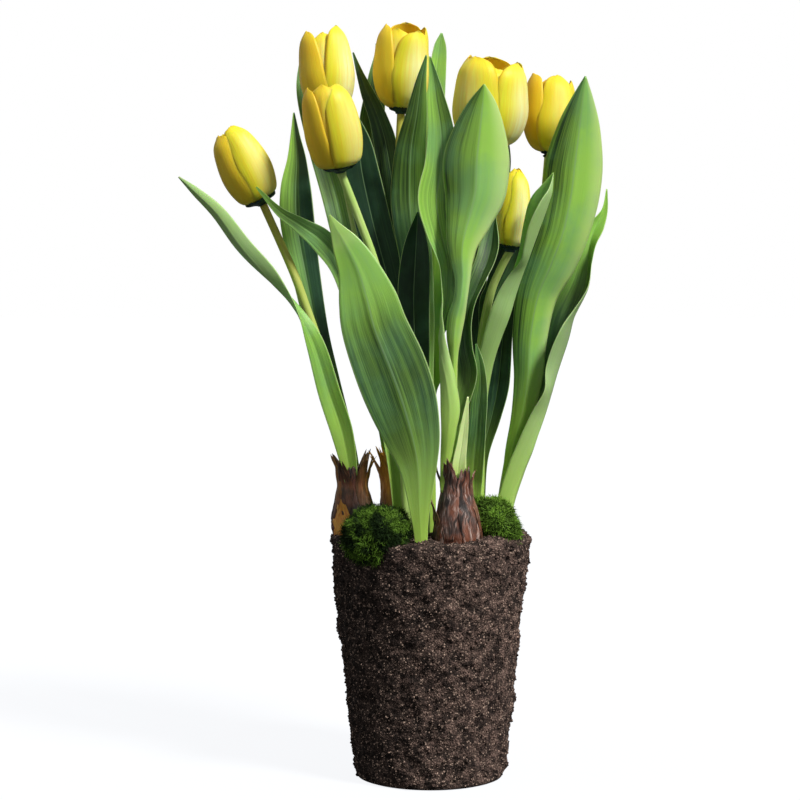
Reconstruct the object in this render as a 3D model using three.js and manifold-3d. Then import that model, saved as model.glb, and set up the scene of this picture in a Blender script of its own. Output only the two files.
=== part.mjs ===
// Tulip clump growing out of a bare, tapered soil block.
// Seven blooms on seven stems, twenty-two leaves, three exposed bulbs and two
// moss cushions, all standing in one block of compressed potting soil.
// Millimetres, +Z up. The origin is the centre of the block's flat underside
// and -Y is the front.

import * as THREE from 'three';
import { mergeVertices } from 'three/addons/utils/BufferGeometryUtils.js';
import Module from 'manifold-3d';

const wasm = await Module();
wasm.setup();

// ---- driving dimensions ---------------------------------------------------

const SOIL = { height: 177, topRadius: 72.5, footRadius: 54.5, sides: 30, levels: 7 };
const SOIL_ROUGHNESS = 1.5;
const SOIL_RINGS = 4;
const MOSS_TUFTS = 0.07;
const SOIL_EDGE = 3;

const FAN = { start: 250, height: 300, level: 350, spread: 0.6, reach: 1 / 1500 };

const CLEARANCE = 0.3;
const WELD = 1e-3;
const DETAIL = 0.15;

const BLADE = { thickness: 1.1, edgeThinning: 0.3, columns: 4 };
const STEM = { footRadius: 3.4, topRadius: 2.9, sides: 8, stepLength: 30 };
const PETAL = { thickness: 1.1, rows: 4, columns: 3, widest: 0.9, innerLift: 16 };
const CAP = { depth: 2.8, neckRadius: 4.1, rimRise: 0.034, sides: 8 };
const PISTIL_SIDES = 5;
const BULB = { sides: 18, wall: 1.4, frill: 5 };

// ---- where everything stands ----------------------------------------------

// Leaf stations: x, y, z, half width, turn in degrees. A turn of 0 shows the
// full width to the front; past 90 the underside shows. 'cup' is how deep the
// blade is channelled for its half width, 'wave' how far its margins ripple.
const LEAVES = {
  left_drooping: {
    cup: 0.5,
    wave: 0.4,
    stations: [
      [-56, -12, 209, 4, 0], [-59, -12, 230, 6, 0], [-64, -13, 254, 8, 0],
      [-73, -15, 281, 8, 5], [-84, -18, 316, 7, 25], [-99, -19, 344, 5.4, 80],
      [-117, -21, 364, 8.4, 125], [-135, -24, 385, 7.4, 145], [-152, -27, 409, 5.5, 155],
      [-167, -29, 424, 3.4, 160], [-179, -31, 435, 0.6, 160],
    ],
  },
  left_upright: {
    cup: 0.35,
    wave: 1,
    stations: [
      [-54, 2, 209, 4, 0], [-57, 3, 232, 4.5, 0], [-63, 5, 256, 5.5, 0],
      [-72, 7, 288, 6.5, 0], [-82, 9, 325, 8, 0], [-91, 11, 368, 10.5, 8],
      [-97, 12, 402, 12.5, 10], [-98, 12, 428, 11.2, 5], [-97, 12, 450, 7, 0],
      [-98, 11, 468, 3.4, -5], [-99, 10, 484, 0.6, -5],
    ],
  },
  left_arching: {
    cup: 0.3,
    wave: 0.5,
    stations: [
      [-22, -22, 160, 4.5, 20], [-23, -22, 204, 5.4, 20], [-30, -20, 254, 6, 20],
      [-43, -17, 305, 7, 20], [-55, -14, 344, 8, 20], [-65, -13, 372, 8.4, 15],
      [-78, -17, 390, 8.6, 5], [-93, -22, 401, 5.7, 0], [-108, -26, 411, 3.2, 0],
      [-124, -29, 428, 0.6, 0],
    ],
  },
  front_broad: {
    cup: -0.14,
    wave: 1,
    stations: [
      [-7, -57, 160, 4.2, 0], [-7, -58, 178, 4.5, 0], [-8, -60, 200, 7, 0],
      [-9, -62, 229, 12.9, 0], [-12.5, -64, 250, 19.1, 0], [-19.5, -66, 275, 24, 0],
      [-28, -67, 299, 25.2, 0], [-39, -67, 327, 23.1, -3], [-44.5, -66, 348, 20.5, -5],
      [-51, -64, 369, 14.7, -8], [-59.5, -62, 386, 10, -8], [-66.5, -61, 398, 4.6, -8],
      [-71, -60, 407, 0.6, -8],
    ],
  },
  left_back: {
    cup: 0.45,
    wave: 0.5,
    stations: [
      [-26, 19, 206, 4, 0], [-29, 20, 228, 4.5, 0], [-33, 24, 259, 6, 0],
      [-41, 30, 303, 7.5, 0], [-50, 35, 348, 9, 0], [-60, 38, 388, 10, -5],
      [-69, 41, 426, 10.5, -8], [-80, 43, 465, 10.5, -5], [-88, 42, 499, 10, 0],
      [-90, 41, 520, 6.8, 0], [-91, 40, 538, 0.6, 0],
    ],
  },
  center_left_dark: {
    cup: 0.3,
    wave: 0.6,
    stations: [
      [-13, 4, 160, 3.8, 0], [-13, 4, 202, 4.5, 0], [-16, 7, 246, 6.6, 0],
      [-20, 9.5, 289, 8.8, 0], [-25, 10.5, 333, 11, 0], [-32, 10.5, 368, 12.5, 0],
      [-41, 9.5, 402, 13.2, 0], [-49, 6, 438, 12.4, 5], [-52, 4, 460, 9.5, 8],
      [-57, 2, 479, 5.1, 8], [-61, 0, 494, 0.6, 8],
    ],
  },
  back_left_pointed: {
    cup: 0.4,
    wave: 0.5,
    stations: [
      [-8, 30, 160, 3.8, 0], [-8, 30, 199, 4.5, 0], [-11, 29, 251, 6.7, 0],
      [-15, 27, 311, 8.9, 0], [-20, 28, 362, 10.3, 0], [-25, 28, 412, 10.6, -3],
      [-31, 27, 457, 9, -8], [-37, 26, 480, 7, -8], [-45, 25, 499, 5, -8],
      [-51, 24, 514, 2.6, -8], [-56, 23, 529, 0.6, -8],
    ],
  },
  back_left_far: {
    cup: 0.4,
    wave: 0.5,
    stations: [
      [-14, 47, 160, 3.8, 0], [-15, 47, 197, 4.5, 0], [-20, 47, 250, 6.8, 0],
      [-26, 47, 310, 9, 0], [-33, 47, 370, 10.5, 0], [-40, 47, 440, 10.5, 5],
      [-43, 46, 474, 9.8, 8], [-41, 45, 496, 8.2, 5], [-39, 44, 515, 5.6, 0],
      [-38, 44, 529, 2.6, 0], [-39, 44, 538, 0.6, 0],
    ],
  },
  center_upright: {
    cup: -0.2,
    wave: 0.8,
    stations: [
      [0, 4, 160, 3.8, 0], [0, 4, 201, 4.5, 0], [-3, 3, 246, 6.6, 0],
      [-6, 3, 289, 8.7, 0], [-7, 2, 333, 10.2, 0], [-10, 1, 377, 12, 5],
      [-14, 0, 406, 13, 8], [-15, 0, 427, 13.2, 8], [-14, -4, 456, 11, 5],
      [-10, -9, 481, 7.6, 0], [-7, -12, 503, 4, 0], [-3, -13, 523, 0.6, 0],
    ],
  },
  center_twisting: {
    cup: 0.3,
    wave: 0.3,
    stations: [
      [10, -49.5, 212, 3.4, 180], [10.5, -51.5, 234, 3.9, 178], [12, -55.5, 255, 5, 176],
      [13, -56.5, 271, 6.6, 172], [11, -55.5, 290, 5.6, 160], [7.5, -52, 307, 5, 130],
      [6, -48, 321, 5.4, 92], [8, -44, 334, 7, 52], [11.5, -40.5, 348, 7, 28],
      [12.5, -38.5, 362, 7, 14], [12, -37, 375, 7.6, 8], [7, -35, 397, 10.5, 0],
      [4, -34, 419, 12.8, 0], [7, -33, 443, 10.8, -5], [7, -32, 468, 9.2, -5],
      [4, -31, 489, 6.4, -5], [2, -30, 504, 3.6, -5], [-1, -30, 520, 0.6, -5],
    ],
  },
  center_broad: {
    cup: -0.5,
    wave: 0.8,
    stations: [
      [16.5, -46, 209, 2.8, 0], [16.5, -49, 233, 2.8, 0], [16, -51, 258, 2.7, 0],
      [16, -51, 302, 2.6, 0], [17, -53, 321, 3.9, 0], [18.5, -53.5, 335, 4.8, 0],
      [20.5, -53.5, 348, 4.8, 0], [22, -52, 363, 5.5, 0], [21.5, -51, 377, 8.4, 0],
      [22.5, -50, 390, 11.8, 0], [27, -48, 407, 17, 0], [31, -47, 424, 21.8, 0],
      [32, -46, 446, 23.3, 0], [34, -45, 466, 18.6, 0], [36, -44, 485, 10.4, 0],
      [37, -44, 499, 0.6, 0],
    ],
  },
  center_right_dark: {
    cup: 0.6,
    wave: 0.8,
    stations: [
      [11, -41, 211, 3.2, -60], [12, -41, 233, 3.4, -55], [16.5, -42.5, 256, 5.6, -42],
      [23.5, -43.5, 276, 7.3, -35], [28, -43.5, 296, 8, -30], [25, -45, 314, 7.4, -32],
      [24.5, -44.5, 330, 7, -35], [28, -43, 346, 6.5, -35], [34.5, -40, 362, 7, -30],
      [40, -35, 375, 7.4, -26], [43, -31, 386, 7.2, -25], [44.5, -28, 397, 4.6, -25],
      [46, -26.5, 407, 0.6, -25],
    ],
  },
  right_pale: {
    cup: 0.8,
    wave: 0.4,
    stations: [
      [36.5, 4, 160, 4.4, -150], [37.5, 4, 202, 5.2, -150], [38, 2, 238, 5.8, -148],
      [39.5, -2, 271, 6.8, -142], [44, -7, 298, 8.4, -132], [50, -12, 319, 10, -122],
      [56, -16, 336, 11.8, -118], [60.5, -18, 352, 11, -110], [65.5, -21, 367, 8.8, -96],
      [69.5, -26, 378, 7.6, -78], [72.5, -29, 387, 9.6, -80], [77, -32, 400, 12, -82],
      [81.5, -33, 412, 12.4, -77], [85.5, -32, 424, 9.2, -68], [87, -31, 438, 0.6, -62],
    ],
  },
  front_right_narrow: {
    cup: 0.3,
    wave: 0.3,
    stations: [
      [29.5, -24, 160, 4.2, -5], [31.5, -26, 206, 4.8, -5], [31, -31, 228, 6.8, -5],
      [32.5, -36, 248, 6.5, -5], [33.5, -39, 261, 6, -8], [34.5, -41.5, 275, 5.9, -10],
      [35.5, -42.5, 288, 4.5, -12], [34.5, -43, 303, 3.2, -12], [32, -43, 317, 0.6, -12],
    ],
  },
  right_dark: {
    cup: 0.35,
    wave: 0.6,
    stations: [
      [37, 22, 160, 3.8, 0], [37, 22, 200, 4.2, 0], [39, 21, 233, 5, -10],
      [46, 20, 262, 8, -20], [50, 19, 282, 10, -25], [52, 18, 300, 9.9, -25],
      [54, 17, 322, 8.8, -25], [57, 16, 344, 7.3, -25], [60, 15, 364, 5.2, -25],
      [64, 14, 384, 0.6, -25],
    ],
  },
  right_broad: {
    cup: -0.4,
    wave: 1,
    stations: [
      [57, 11, 160, 3.8, 0], [57, 11, 197, 4.4, 0], [60, 9.5, 234, 5.2, -10],
      [67, 6.5, 262, 8, -10], [71.5, 4.5, 290, 10.6, -8], [73, 2, 319, 12.6, 0],
      [78, -1.5, 350, 15.2, 5], [87.5, -5.5, 374, 18.8, 5], [95.5, -8, 396, 19.6, 3],
      [101, -9, 421, 21, 0], [104, -10, 446, 20.8, 0], [107, -11, 471, 15.6, 0],
      [109, -12, 489, 9.2, 0], [111, -13, 508, 0.6, 0],
    ],
  },
  right_twisting: {
    cup: 0.85,
    wave: 0.5,
    stations: [
      [54, -5, 160, 5, -145], [58.5, -5, 196, 7.6, -145], [66.5, -4, 222, 8.3, -145],
      [74.5, -2.5, 240, 8.8, -135], [81.5, 0, 259, 8.6, -110],
      [87.5, 2.5, 278, 10.2, -75], [92.5, 4.5, 296, 12.4, -86], [100, 7, 319, 16, -75],
      [105, 10, 336, 14, -59], [113.5, 12.5, 356, 12.4, -47], [116, 14, 375, 8, -39],
      [117.5, 15, 389, 6.5, -22], [121.5, 16, 401, 5.6, 2], [127.5, 17, 414, 2.4, 22],
      [129.5, 17, 429, 0.6, 30],
    ],
  },
  back_tall: {
    cup: 0.4,
    wave: 0.5,
    stations: [
      [-3.5, 38, 160, 3.8, 0], [-3.5, 38, 199, 4.5, 0], [-2.5, 38, 272, 7, 0],
      [0.5, 38, 294, 9.3, 0], [1, 37, 322, 9.6, 0], [0, 36, 370, 9.7, 0],
      [0, 35, 422, 9.6, 5], [0, 34, 466, 8.9, 10], [3, 33, 495, 7.4, 15],
      [5, 32, 517, 5.2, 18], [8, 31, 532, 3.2, 18], [9, 30, 544, 0.6, 18],
    ],
  },
  back_right: {
    cup: 0.35,
    wave: 0.5,
    stations: [
      [22, 23, 160, 3.8, 0], [22, 23, 200, 4.5, 0], [24, 23, 252, 5.9, 0],
      [27, 22, 304, 7, 0], [32, 21, 348, 7.7, 0], [38, 21, 386, 8.2, 0],
      [46, 21, 418, 9, 0], [52, 25, 445, 7.6, 0], [55, 27, 461, 4, 0],
      [55, 28, 474, 0.6, 0],
    ],
  },
  center_dark: {
    cup: 0.3,
    wave: 0.4,
    stations: [
      [-4, -13, 160, 3.7, 0], [-5, -13, 203, 4.7, 0], [-7, -14, 240, 6.5, 0],
      [-10, -14, 276, 8.7, 0], [-11, -14, 312, 10.4, 0], [-12, -14, 348, 11.5, 0],
      [-11, -14, 373, 10.8, 0], [-10, -14, 392, 7.5, 0], [-9, -14, 411, 0.6, 0],
    ],
  },
  bud_sheath: {
    cup: 0.3,
    wave: 0.3,
    stations: [
      [29.5, 18.5, 160, 3.2, 0], [29.5, 18, 200, 3.6, 0], [31, 17.5, 245, 4, 0],
      [34, 16.5, 285, 4.2, 0], [39.5, 13.5, 318, 4.4, 0], [42.5, 11, 345, 6.3, 0],
      [47.5, 9.5, 355, 7.6, 0], [53.5, 8.5, 369, 9.4, 0], [59, 9.5, 383, 10.2, 0],
      [61.5, 12.5, 395, 8.8, 0], [63, 13.5, 405, 5.8, 0], [64.5, 14, 415, 0.6, 0],
    ],
  },
  neck_pale: {
    cup: 0.3,
    wave: 0.3,
    stations: [
      [18.5, -51.5, 212, 4, 0], [19.5, -52.3, 231, 4.6, 0], [22, -52, 248, 3.6, 3],
      [24, -52.5, 264, 2.4, 5], [26, -53, 280, 0.6, 5],
    ],
  },
};

// Stem routes: points from the root end to the bloom.
const STEMS = {
  far_left: [
    [-54, -5, 205], [-57, -5, 230], [-62, -5, 253], [-70, -6, 283], [-80, -7, 315],
    [-89, -8, 341], [-98, -9, 366], [-108, -10, 389], [-120.6, -11.2, 417.2],
  ],
  upper_left: [
    [-24, 12, 203], [-28, 12, 228], [-32, 13, 260], [-40, 15, 318], [-50, 15, 377],
    [-62, 14, 435], [-72.4, 12, 482.4],
  ],
  front_left: [
    [-17, -30, 160], [-17, -30, 198], [-20, -28, 241], [-25, -27, 291], [-31, -28, 341],
    [-40, -29, 375], [-52, -30, 408], [-64.2, -31.9, 438.9],
  ],
  top: [
    [-1, 16, 160], [-2, 16, 193], [-6, 16, 252], [-12, 16, 326], [-18, 15, 399],
    [-22, 15, 450], [-21, 15, 484.4],
  ],
  center: [
    [22, -39.5, 205], [22, -39.5, 232], [22, -38.5, 256], [22, -37, 288], [23, -37, 320],
    [26, -33.5, 358], [32, -27, 401], [38, -14, 434], [42, -4.9, 455.4],
  ],
  right: [
    [52, 24, 160], [53, 24, 192], [60, 23, 237], [70, 21, 289], [77, 20, 348],
    [83, 19, 406], [86.9, 18, 453.4],
  ],
  bud: [
    [34, 12, 160], [34, 12, 195], [34, 12, 239], [35, 10, 284], [38, 7, 320],
    [44, 3, 352], [51, -1, 370], [57.9, -4, 383.4],
  ],
};

// Blooms: base and tip of the axis, widest radius, how full the foot is, and
// the petals: turn in degrees, share of the radius, share of the height, how
// far out the tip stands (0 is on the axis) and how slim the petal is.
const BLOOMS = {
  far_left: {
    base: [-121.3, -11.3, 418.6], tip: [-146.5, -15, 470.5], radius: 19.2, full: 0.8,
    petals: [
      [-150, 1, 0.96, 0.42, 0.3], [-46, 1, 1, 0.3, 0.2], [75, 1, 0.97, 0.4, 0.3],
      [-96, 0.78, 0.93, 0.3, 0.5], [15, 0.78, 0.96, 0.35, 0.5], [135, 0.78, 0.95, 0.35, 0.5],
    ],
  },
  upper_left: {
    base: [-72.5, 12, 484], tip: [-77.5, 12, 544], radius: 20.4, full: 0.4,
    petals: [
      [-150, 1, 0.98, 0.7, 0.8], [-36, 1, 1.02, 0.58, 0.8], [84, 1, 0.98, 0.55, 0.5],
      [-94, 0.84, 0.95, 0.45, 0.9], [25, 0.78, 0.94, 0.6, 0.6], [150, 0.78, 0.93, 0.6, 0.6],
    ],
  },
  front_left: {
    base: [-64.5, -32, 440.5], tip: [-74.5, -36, 498], radius: 20.3, full: 1,
    petals: [
      [-162, 1, 1.03, 0.64, 0.7], [-40, 1, 1.02, 0.46, 0.1], [80, 1, 0.98, 0.4, 0.4],
      [-104, 0.86, 1.04, 0.5, 0.8], [20, 0.78, 0.95, 0.4, 0.5], [140, 0.78, 0.97, 0.6, 0.6],
    ],
  },
  top: {
    base: [-21, 15, 486], tip: [-19, 12, 548], radius: 21.3, full: 0.2,
    petals: [
      [-178, 1, 0.99, 0.62, 0.6], [-60, 1, 0.88, 0.9, 0.55], [68, 1, 1.03, 0.8, 0.3],
      [-114, 0.87, 0.92, 0.7, 0.5], [12, 0.87, 0.98, 0.92, 0.5], [128, 0.87, 0.97, 0.7, 0.5],
    ],
  },
  center: {
    base: [42, -5, 457], tip: [44, -8, 523], radius: 28, full: 0.35,
    petals: [
      [-134, 1, 0.98, 0.62, 0.35], [-30, 1, 0.92, 0.72, 0.45], [92, 1, 1, 0.8, 0.1],
      [-80, 0.87, 0.86, 0.5, 0.4], [20, 0.9, 0.96, 0.9, 0.6], [172, 0.9, 1, 0.62, 0.4],
    ],
  },
  right: {
    base: [87, 18, 455], tip: [90, 18, 511], radius: 19.8, full: 0.3,
    petals: [
      [-174, 1, 1.02, 0.75, 0], [-66, 1, 1, 0.38, 0.5], [62, 1, 0.97, 0.7, 0.5],
      [-120, 0.78, 0.93, 0.5, 0.5], [-4, 0.87, 0.97, 0.8, 0.6], [120, 0.78, 0.95, 0.7, 0.5],
    ],
  },
  bud: {
    base: [58, -4, 385], tip: [63, -4, 443], radius: 12.8, full: 1.2,
    petals: [
      [-158, 0.95, 0.99, 0.16, 0.6], [-62, 1, 0.98, 0.1, 0.5], [55, 0.92, 1, 0.14, 0.6],
      [-105, 0.84, 0.96, 0.12, 0.6], [0, 0.82, 0.96, 0.12, 0.6], [120, 0.82, 0.97, 0.12, 0.6],
    ],
  },
};

// Bulbs: foot position, height, widest radius, lean of the neck along x and
// y, and the turn of the ribs.
const BULBS = {
  left: { foot: [-54, -5, 160], height: 66, radius: 17, lean: [-3, 0], turn: 0.4 },
  middle: { foot: [-17, 15, 160], height: 66, radius: 15, lean: [-11, 0], turn: 2 },
  front: { foot: [20, -43, 158], height: 68, radius: 17, lean: [-2, -1], turn: 1.1 },
};

// Moss cushions: centre and half sizes.
const MOSSES = {
  front_left: { centre: [-40, -46, 184], halfSize: [25, 22, 20], turn: 0.3 },
  right: { centre: [45.5, -28, 188], halfSize: [18, 19, 19], turn: 1.7 },
};

// ---- colours --------------------------------------------------------------

function finish(color, roughness) {
  return new THREE.MeshStandardMaterial({ color, roughness, metalness: 0 });
}

const soilFinish = finish(0x3a2a20, 0.95);
const mossFinish = finish(0x3f7a1f, 0.95);
const bulbFinish = finish(0x7a3a22, 0.7);
const leafFinish = finish(0x3f8a3a, 0.5);
const stemFinish = finish(0x9fc46a, 0.5);
const capFinish = finish(0x1f3a34, 0.5);
const petalFinish = finish(0xe8c81e, 0.45);

// ---- solids ---------------------------------------------------------------

// Welds shared corners and drops the triangles that collapse on the axis.
function toSolid(geometry) {
  const bare = new THREE.BufferGeometry();
  bare.setAttribute('position', geometry.getAttribute('position'));
  bare.setIndex(geometry.index);
  const welded = mergeVertices(bare, WELD);
  const corners = welded.index.array;
  const triangles = [];
  for (let i = 0; i < corners.length; i += 3) {
    const [a, b, c] = [corners[i], corners[i + 1], corners[i + 2]];
    if (a !== b && b !== c && c !== a) {
      triangles.push(a, b, c);
    }
  }
  return new wasm.Manifold(new wasm.Mesh({
    numProp: 3,
    vertProperties: Float32Array.from(welded.attributes.position.array),
    triVerts: Uint32Array.from(triangles),
  }));
}

// Keeps the biggest body, so a crumb cut loose by a hole is left out.
function toGeometry(solid) {
  const bodies = solid.decompose();
  bodies.sort((a, b) => b.volume() - a.volume());
  const mesh = bodies[0].getMesh();
  const geometry = new THREE.BufferGeometry();
  geometry.setAttribute('position', new THREE.BufferAttribute(mesh.vertProperties, 3));
  geometry.setIndex(new THREE.BufferAttribute(mesh.triVerts, 1));
  return geometry;
}

function latheSolid(profile, sides, place) {
  const points = profile.map(([radius, height]) => new THREE.Vector2(radius, height));
  const geometry = new THREE.LatheGeometry(points, sides);
  geometry.rotateX(Math.PI / 2);
  const position = geometry.getAttribute('position');
  const point = new THREE.Vector3();
  for (let i = 0; i < position.count; i += 1) {
    point.fromBufferAttribute(position, i);
    place(point);
    position.setXYZ(i, point.x, point.y, point.z);
  }
  return toSolid(geometry);
}

function pointAngle(point) {
  return Math.atan2(point.y, point.x);
}

// A thin closed sheet from a grid of surface points and their normals. Both
// faces are split along the same diagonals.
function sheetGeometry(rows, columns, surface) {
  const positions = [];
  for (const side of [1, -1]) {
    for (let row = 0; row <= rows; row += 1) {
      for (let column = 0; column <= columns; column += 1) {
        const { centre, normal, thickness } = surface(row / rows, column / columns);
        const point = centre.clone().addScaledVector(normal, side * thickness / 2);
        positions.push(point.x, point.y, point.z);
      }
    }
  }
  const width = columns + 1;
  const upper = (row, column) => row * width + column;
  const lower = (row, column) => (rows + 1) * width + row * width + column;
  const index = [];
  const quad = (a, b, c, d) => index.push(a, b, c, a, c, d);
  for (let row = 0; row < rows; row += 1) {
    const next = row + 1;
    for (let column = 0; column < columns; column += 1) {
      const beside = column + 1;
      quad(upper(row, column), upper(row, beside), upper(next, beside), upper(next, column));
      index.push(lower(row, column), lower(next, beside), lower(row, beside));
      index.push(lower(row, column), lower(next, column), lower(next, beside));
    }
    quad(upper(row, columns), lower(row, columns), lower(next, columns), upper(next, columns));
    quad(upper(row, 0), upper(next, 0), lower(next, 0), lower(row, 0));
  }
  for (let column = 0; column < columns; column += 1) {
    const beside = column + 1;
    quad(upper(0, column), lower(0, column), lower(0, beside), upper(0, beside));
    quad(upper(rows, column), upper(rows, beside), lower(rows, beside), lower(rows, column));
  }
  const geometry = new THREE.BufferGeometry();
  geometry.setAttribute('position', new THREE.Float32BufferAttribute(positions, 3));
  geometry.setIndex(index);
  return geometry;
}

// ---- leaves and stems -----------------------------------------------------

// The clump fans out in depth as it rises, and what leans back reaches higher.
function fanned([x, y, z]) {
  const rise = Math.max(0, z - FAN.start) / FAN.height;
  const depth = y * (1 + FAN.spread * rise ** 2);
  const reach = 1 + (depth - y) * FAN.reach;
  return new THREE.Vector3(x * reach, depth, FAN.level + (z - FAN.level) * reach);
}

const FRONT = new THREE.Vector3(0, -1, 0);

// A channelled blade that follows its stations, turning about its midrib.
function bladeSolid(leaf, grow = 0) {
  const route = leaf.stations.map(fanned);
  const shape = leaf.stations.map(([, , , half, turn]) => new THREE.Vector3(half, turn, 0));
  route[0].addScaledVector(route[1].clone().sub(route[0]).normalize(), -grow);
  const midrib = new THREE.CatmullRomCurve3(route, false, 'catmullrom', 0.5);
  const section = new THREE.CatmullRomCurve3(shape, false, 'catmullrom', 0.5);
  const surface = (along, across) => {
    const point = midrib.getPoint(along);
    const tangent = midrib.getTangent(along);
    const { x: half, y: turn } = section.getPoint(along);
    const facing = FRONT.clone().addScaledVector(tangent, -FRONT.dot(tangent)).normalize();
    const normal = facing.applyAxisAngle(tangent, THREE.MathUtils.degToRad(turn));
    const sideways = tangent.clone().cross(normal);
    const reach = 2 * across - 1;
    const width = Math.max(half, 0.6) + grow;
    const channel = leaf.cup * width * Math.abs(reach) ** 1.5;
    const swell = Math.sin(Math.PI * along) ** 2 * Math.abs(reach) ** 3;
    const ripple = leaf.wave * swell * Math.sin(19 * along + 2 * Math.sign(reach));
    point.addScaledVector(sideways, width * reach);
    point.addScaledVector(normal, channel + ripple);
    const thickness = BLADE.thickness * (1 - BLADE.edgeThinning * Math.abs(reach));
    return { centre: point, normal, thickness: thickness + 2 * grow };
  };
  return toSolid(sheetGeometry(leaf.stations.length - 1, BLADE.columns, surface));
}

// A round stem, slimmer towards the bloom.
function stemSolid(route, grow = 0) {
  const points = route.map(fanned);
  points[0].z -= grow;
  const path = new THREE.CatmullRomCurve3(points);
  const steps = Math.ceil(path.getLength() / STEM.stepLength);
  const outline = [];
  for (let side = 0; side < STEM.sides; side += 1) {
    const angle = 2 * Math.PI * side / STEM.sides;
    outline.push(new THREE.Vector2(Math.cos(angle), Math.sin(angle)));
  }
  const options = { steps, extrudePath: path, bevelEnabled: false };
  const geometry = new THREE.ExtrudeGeometry(new THREE.Shape(outline), options);
  const position = geometry.getAttribute('position');
  const centres = path.getSpacedPoints(steps);
  const corner = new THREE.Vector3();
  for (let i = 0; i < position.count; i += 1) {
    corner.fromBufferAttribute(position, i);
    const distances = centres.map((centre) => Math.abs(centre.distanceTo(corner) - 1));
    const ring = distances.indexOf(Math.min(...distances));
    const radius = THREE.MathUtils.lerp(STEM.footRadius, STEM.topRadius, ring / steps) + grow;
    corner.sub(centres[ring]).setLength(radius).add(centres[ring]);
    position.setXYZ(i, corner.x, corner.y, corner.z);
  }
  return toSolid(geometry);
}

// ---- blooms ---------------------------------------------------------------

// Radius and rise along a petal, as shares of the bloom.
function petalProfile(full, tip) {
  return [
    [0.12, 0.01], [0.52 + 0.16 * full, 0.06], [0.82 + 0.07 * full, 0.19], [0.99, 0.4],
    [0.9 + 0.1 * tip, 0.64], [0.6 + 0.42 * tip, 0.86], [tip, 1],
  ];
}

// Half the width of a petal along its length, as a share of its radius.
function petalWidth(along, slim) {
  const foot = Math.sin(Math.min(along / 0.42, 1) * Math.PI / 2) ** 0.8;
  const start = 0.5 - 0.25 * slim;
  const tip = Math.max(0, (along - start) / (1 - start));
  const taper = (1 - tip ** (2.3 - 0.5 * slim)) ** (0.6 + 0.3 * slim);
  return 0.1 + 0.95 * foot * taper - 0.05 * tip ** 8;
}

function petalSolid(bloom, height, [turn, share, tall, tip, slim]) {
  const size = bloom.radius * share;
  const lift = PETAL.innerLift * (1 - share);
  const profile = petalProfile(bloom.full, tip).map(([radius, rise]) => new THREE.Vector3(
    size * radius,
    (height * tall - lift) * rise + lift,
    0,
  ));
  const curve = new THREE.CatmullRomCurve3(profile, false, 'catmullrom', 0.5);
  const surface = (along, across) => {
    const { x: radius, y: rise } = curve.getPoint(along);
    const slope = curve.getTangent(along);
    const half = size * petalWidth(along, slim);
    const spread = (2 * across - 1) * Math.min(half / radius, PETAL.widest);
    const angle = THREE.MathUtils.degToRad(turn) + spread;
    const outward = new THREE.Vector3(Math.cos(angle), Math.sin(angle), 0);
    const centre = outward.clone().multiplyScalar(radius).setZ(rise);
    const tilt = Math.hypot(slope.x, slope.y);
    const normal = outward.multiplyScalar(slope.y / tilt).setZ(-slope.x / tilt);
    return { centre, normal, thickness: PETAL.thickness };
  };
  return toSolid(sheetGeometry(PETAL.rows, PETAL.columns, surface));
}

function bloomPlacement(bloom) {
  const base = fanned(bloom.base);
  const axis = fanned(bloom.tip).sub(base);
  const turn = new THREE.Quaternion().setFromUnitVectors(
    new THREE.Vector3(0, 0, 1),
    axis.clone().normalize(),
  );
  const size = new THREE.Vector3(1, 1, 1);
  return { height: axis.length(), matrix: new THREE.Matrix4().compose(base, turn, size) };
}

// The shallow cup under the petals that the stem grows into.
function capSolid(bloom, grow = 0) {
  const { height, matrix } = bloomPlacement(bloom);
  const foot = -CAP.depth - grow;
  const rim = CAP.rimRise * height;
  const wide = bloom.radius * (0.5 + 0.14 * bloom.full);
  const profile = [
    [0, foot], [CAP.neckRadius + grow, foot], [0.6 * wide + grow, -1.2 - grow],
    [wide + grow, rim - 0.4], [wide - 0.6 + grow, rim + 0.4 + grow], [0.6 * wide, 0.6 + grow],
    [0, grow - 0.3],
  ];
  return latheSolid(profile, CAP.sides, (point) => point.applyMatrix4(matrix));
}

// Three outer and three inner petals round a small pistil, grown together at
// the foot.
function bloomSolid(bloom) {
  const { height, matrix } = bloomPlacement(bloom);
  const core = 0.3 * bloom.radius;
  const pistil = [
    [0, -0.5], [core, 0.5], [core, 6], [0.5 * core, 10], [0.55 * core, 0.54 * height],
    [0, 0.57 * height],
  ];
  let head = latheSolid(pistil, PISTIL_SIDES, () => {});
  for (const petal of bloom.petals) {
    head = head.add(petalSolid(bloom, height, petal));
  }
  return head.transform(matrix.toArray()).subtract(capSolid(bloom, CLEARANCE));
}

// ---- bulbs, moss and soil -------------------------------------------------

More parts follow.
